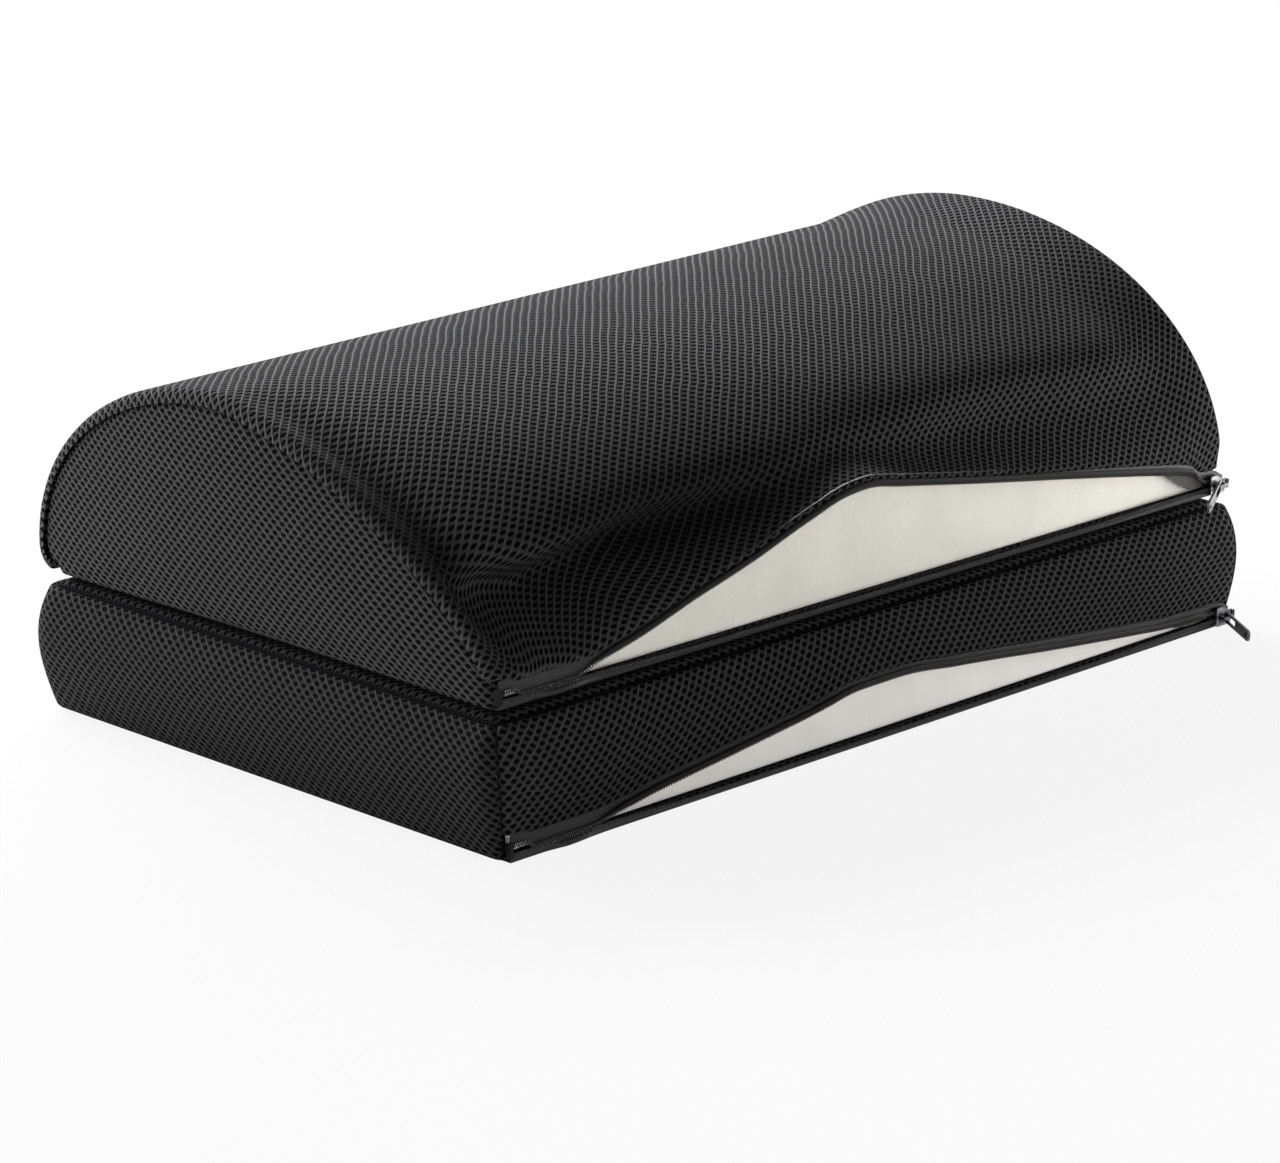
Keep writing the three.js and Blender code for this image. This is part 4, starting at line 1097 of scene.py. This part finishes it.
# Tape: the upper one hangs from its lip, the lower one stands on the floor panel and folds under
def makeTapes(name):
    shape = zipShape
    plane, level = zipPlane[name], zipLevel[name]
    start, end = chainStart, halfLength - shape["tapeEndGap"]
    x = stations(end - start, shape["tapeStep"]) + start
    low = level + teethRise(name, x) + shape["tapeFromTeeth"]
    slant = shape["endSlant"]
    cut = slant["by"] * smooth((x - halfLength + slant["before"]) / slant["length"])
    high = level + lipRise(name, x) + shape["tapeOverLip"] - cut
    z = low[:, None] + (high - low)[:, None] * np.linspace(0, 1, 5)[None]
    outer = grid(x[:, None], (plane - lipOut(name, x) - tapeThickness)[:, None], z)
    inner = outer + np.array([0, tapeThickness, 0])
    tape = shellPiece(f"{name}_tape_upper", outer, inner, outer[..., (0, 2)], "wovenPolyesterTape", name)
    standFor(f"{name}_zip_tape_upper")

    # section of the lower tape, from under the teeth down and back under the foam
    floor = level - chainRise + 0.3
    top = level - 0.8
    heights = np.array([top, level - 1.8, level - 3.0, floor, floor, floor, floor])
    outerZ = heights + np.array([0, 0, 0, 0.5, 0, 0, 0])
    innerZ = heights + np.array([0, 0, 0, 0.9, 0.6, 0.6, 0.6])
    front = plane - tapeThickness
    outerY = np.array([front, front, front, front, front + 0.3, plane + 1.0, plane + 2.2])
    innerY = plane + np.array([0, 0, 0, 0, 0.1, 1.0, 2.2])
    sag = lowerSag(x)[:, None] * clamp((outerZ - floor - 0.5) / (top - floor - 0.5))[None]
    loose = shape["slack"]
    slack = (loose["by"] * smooth((x - start - loose["from"]) / loose["runs"][0])
             * smooth((openStart + loose["to"] - x) / loose["runs"][1]))
    slack = slack[:, None] * np.array([0, 0.45, 1, 0.8, 0.4, 0, 0])[None]
    outer = grid(x[:, None], outerY - slack, outerZ - sag)
    inner = grid(x[:, None], innerY - slack, innerZ - sag)
    uv = grid(outer[..., 0], outer[..., 2] - outer[..., 1])
    tape = shellPiece(f"{name}_tape_lower", outer, inner, uv, "wovenPolyesterTape", name)
    standFor(f"{name}_zip_tape_lower")


# The upper tape's edge rolls over its coil in the open stretch, so the lip ends in a smooth band
def makeRolledEdge(name):
    shape = zipShape
    (startGap, endGap), (startTaper, endTaper) = shape["edgeGaps"], shape["edgeTapers"]
    x = np.arange(openStart + startGap, openEnd - endGap, shape["edgeStep"])
    taper = smooth((x - openStart) / startTaper) * smooth((openEnd - x) / endTaper)
    radius = shape["edgeRadius"] * taper
    back = shape["coilBack"] + shape["coilDepth"]
    centreY = zipPlane[name] - lipOut(name, x) - back - shape["edgeForward"] * taper
    centreZ = zipLevel[name] + teethRise(name, x) + shape["coilReach"] + shape["edgeRise"] * taper
    turns = np.linspace(0, 2 * math.pi, 12, endpoint=False)
    y = centreY[:, None] + radius[:, None] * np.cos(turns)[None] * shape["edgeFlatness"]
    z = centreZ[:, None] + radius[:, None] * np.sin(turns)[None]
    uv = grid(x[:, None], turns * shape["edgeRadius"])
    loftPiece(f"{name}_lip_edge", grid(x[:, None], y, z), uv, "rolledTapeEdge", name, 80)


# Loose end of the upper tape, folded back into the mouth beside the slider
def makeTapeEnd(name):
    shape = zipShape
    columns, rows = shape["tapeEndPoints"]
    x = np.linspace(*shape["tapeEnd"][name], columns)
    gap = teethRise(name, x)
    hang = np.sin(math.pi * np.linspace(0, 1, columns) ** 1.5) ** 0.6     # lowest past its middle
    drop = np.minimum(gap - 0.4, shape["tapeEndDrop"][name]) * hang + 0.15
    over = shape["tapeOverLip"]
    z = (zipLevel[name] + gap + over)[:, None] - (drop + over)[:, None] * np.linspace(0, 1, rows)[None]
    outer = grid(x[:, None], (zipPlane[name] - lipOut(name, x) - 0.1)[:, None], z)
    inner = outer + np.array([0, shape["tapeEndThickness"], 0])
    shellPiece(f"{name}_tape_end", outer, inner, outer[..., (0, 2)], "foldedTapeEnd", name)


for name in ("base", "upper"):
    makeTapes(name)
    makeRolledEdge(name)
    makeTapeEnd(name)
    makeCoil(name, "upper")
    makeCoil(name, "lower")
print("zips made")


# Rigid metal parts keep the CAD's own shape, with their edges rounded
edgeRounding = {"slider": 0.18, "pull": 0.22, "stop_left": 0.2, "stop_right": 0.2}
for name in ("base", "upper"):
    for part, radius in edgeRounding.items():
        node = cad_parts[f"{name}_zip_{part}"]
        finish = "darkerZincStop" if part.startswith("stop") else "blackNickelOnZinc"
        node.data.materials.clear()
        node.data.materials.append(materials[finish])
        weld = node.modifiers.new("join faces", "WELD")
        weld.merge_threshold = 0.00001
        bevel = node.modifiers.new("round edges", "BEVEL")
        bevel.width = radius * millimetre
        bevel.segments = 2
        bevel.limit_method = "ANGLE"
        bevel.angle_limit = math.radians(35)
        bevel.harden_normals = True
print("metal parts finished")


stripShape = {"steps": (6.0, 2.5), "edge": 1.0, "droop": 0.6}     # droop is a share of the thickness


# Strip of hook or loop tape, its edges thinner where they are sewn down
def makeStrip(node, finish, faceUp):
    low, high = boxOf(node)
    length, width, thick = high - low
    edge = stripShape["edge"]
    x, y = np.meshgrid(stations(length, stripShape["steps"][0], edge, edge, 3),
                       stations(width, stripShape["steps"][1], edge, edge, 3), indexing="ij")
    fromEdge = np.minimum.reduce([x, length - x, y, width - y])
    droop = stripShape["droop"] * thick * (1 - smooth(fromEdge / edge))
    face, back = (high[2] - droop, low[2]) if faceUp else (low[2] + droop, high[2])
    outer = grid(x + low[0], y + low[1], face)
    inner = grid(x + low[0], y + low[1], back)
    strip = shellPiece(f"{node}_cloth", outer, inner, grid(x, y), finish, "base" if faceUp else "upper")
    standFor(node)


for place in ("front", "back"):
    makeStrip(f"loop_strip_{place}", "brushedLoopTape", True)
    makeStrip(f"hook_strip_{place}", "mouldedHookTape", False)
print("strips made")


# 1 where a ray comes straight from the camera, or by way of metal or glass
def seenDirect(add):
    path = add("LightPath", output=None).outputs
    straight = add("Math", (path["Is Camera Ray"], path["Is Transmission Ray"]), operation="MAXIMUM")
    return add("Math", (straight, path["Is Glossy Ray"]), operation="MAXIMUM")


# Pale floor: the camera sees it as an even ground with a faint shadow
floorLook = {"colour": "#DCDCDC", "ground": "#FAFAFA", "glow": 0.93, "shadow": 0.02, "reach": 6.0,
             "drop": 0.3}


def makeFloor():
    material = bpy.data.materials.new("paleStudioFloor")
    add = clearNodes(material)
    plain = add("BsdfPrincipled", {"Base Color": floorLook["colour"], "Roughness": 0.9})
    glow = add("Emission", {"Color": floorLook["ground"], "Strength": floorLook["glow"]})
    soft = add("BsdfDiffuse", {"Color": (*[floorLook["shadow"]] * 3, 1)})
    both = add("AddShader", (glow, soft))
    chosen = add("MixShader", (seenDirect(add), plain, both))
    add("OutputMaterial", {"Surface": chosen}, None)
    mesh = bpy.data.meshes.new("floor")
    reach = floorLook["reach"]
    mesh.from_pydata([(-reach, -reach, 0), (reach, -reach, 0), (reach, reach, 0), (-reach, reach, 0)], [],
                     [(0, 1, 2, 3)])
    mesh.materials.append(material)
    floor = bpy.data.objects.new("floor", mesh)
    floor.location.z = -floorLook["drop"] * millimetre
    bpy.context.scene.collection.objects.link(floor)


makeFloor()

world = bpy.data.worlds.new("studio")
bpy.context.scene.world = world
add = clearNodes(world)
dim = add("Background", {"Color": (1, 1, 1, 1), "Strength": 0.2})
white = add("Background", {"Color": floorLook["ground"], "Strength": 1.0})
add("OutputWorld", {"Surface": add("MixShader", (seenDirect(add), dim, white))}, None)

# Soft boxes: position, aim and sides in metres, power in watts
lamps = {
    "backTop": {"at": (0.3, 1.7, 1.2), "aim": (0, 0.05, 0.1), "side": (2.6, 0.9), "power": 470},
    "front": {"at": (1.0, -2.0, 0.3), "aim": (0, -0.1, 0.04), "side": (1.2, 0.5), "power": 17},
    "leftBack": {"at": (-1.9, 1.2, 1.0), "aim": (-0.1, 0, 0.08), "side": (0.9, 0.9), "power": 29},
    "rightNear": {"at": (0.46, -0.215, 0.08), "aim": (0.1, -0.14, 0.04), "side": (0.2, 0.2), "power": 2.0},
}
for name, lamp in lamps.items():
    light = bpy.data.lights.new(name, "AREA")
    light.shape = "RECTANGLE"
    light.size, light.size_y = lamp["side"]
    light.energy = lamp["power"]
    holder = bpy.data.objects.new(name, light)
    holder.location = lamp["at"]
    holder.visible_camera = False
    holder.rotation_euler = (Vector(lamp["aim"]) - Vector(lamp["at"])).to_track_quat("-Z", "Y").to_euler()
    bpy.context.scene.collection.objects.link(holder)

viewpoint = {"yaw": 45.168, "pitch": 16.398, "distance": 1.9239, "target": (0.0, 0.0092, 0.0354),
             "lens": 123.75}
yaw, pitch = math.radians(viewpoint["yaw"]), math.radians(viewpoint["pitch"])
forward = Vector((math.sin(yaw) * math.cos(pitch), math.cos(yaw) * math.cos(pitch), -math.sin(pitch)))
cameraData = bpy.data.cameras.new("camera")
cameraData.lens = viewpoint["lens"]
cameraData.sensor_width = 36
camera = bpy.data.objects.new("camera", cameraData)
camera.location = Vector(viewpoint["target"]) - forward * viewpoint["distance"]
camera.rotation_euler = forward.to_track_quat("-Z", "Y").to_euler()
bpy.context.scene.collection.objects.link(camera)
bpy.context.scene.camera = camera
bpy.context.scene.view_settings.view_transform = "Standard"
print("stage made")
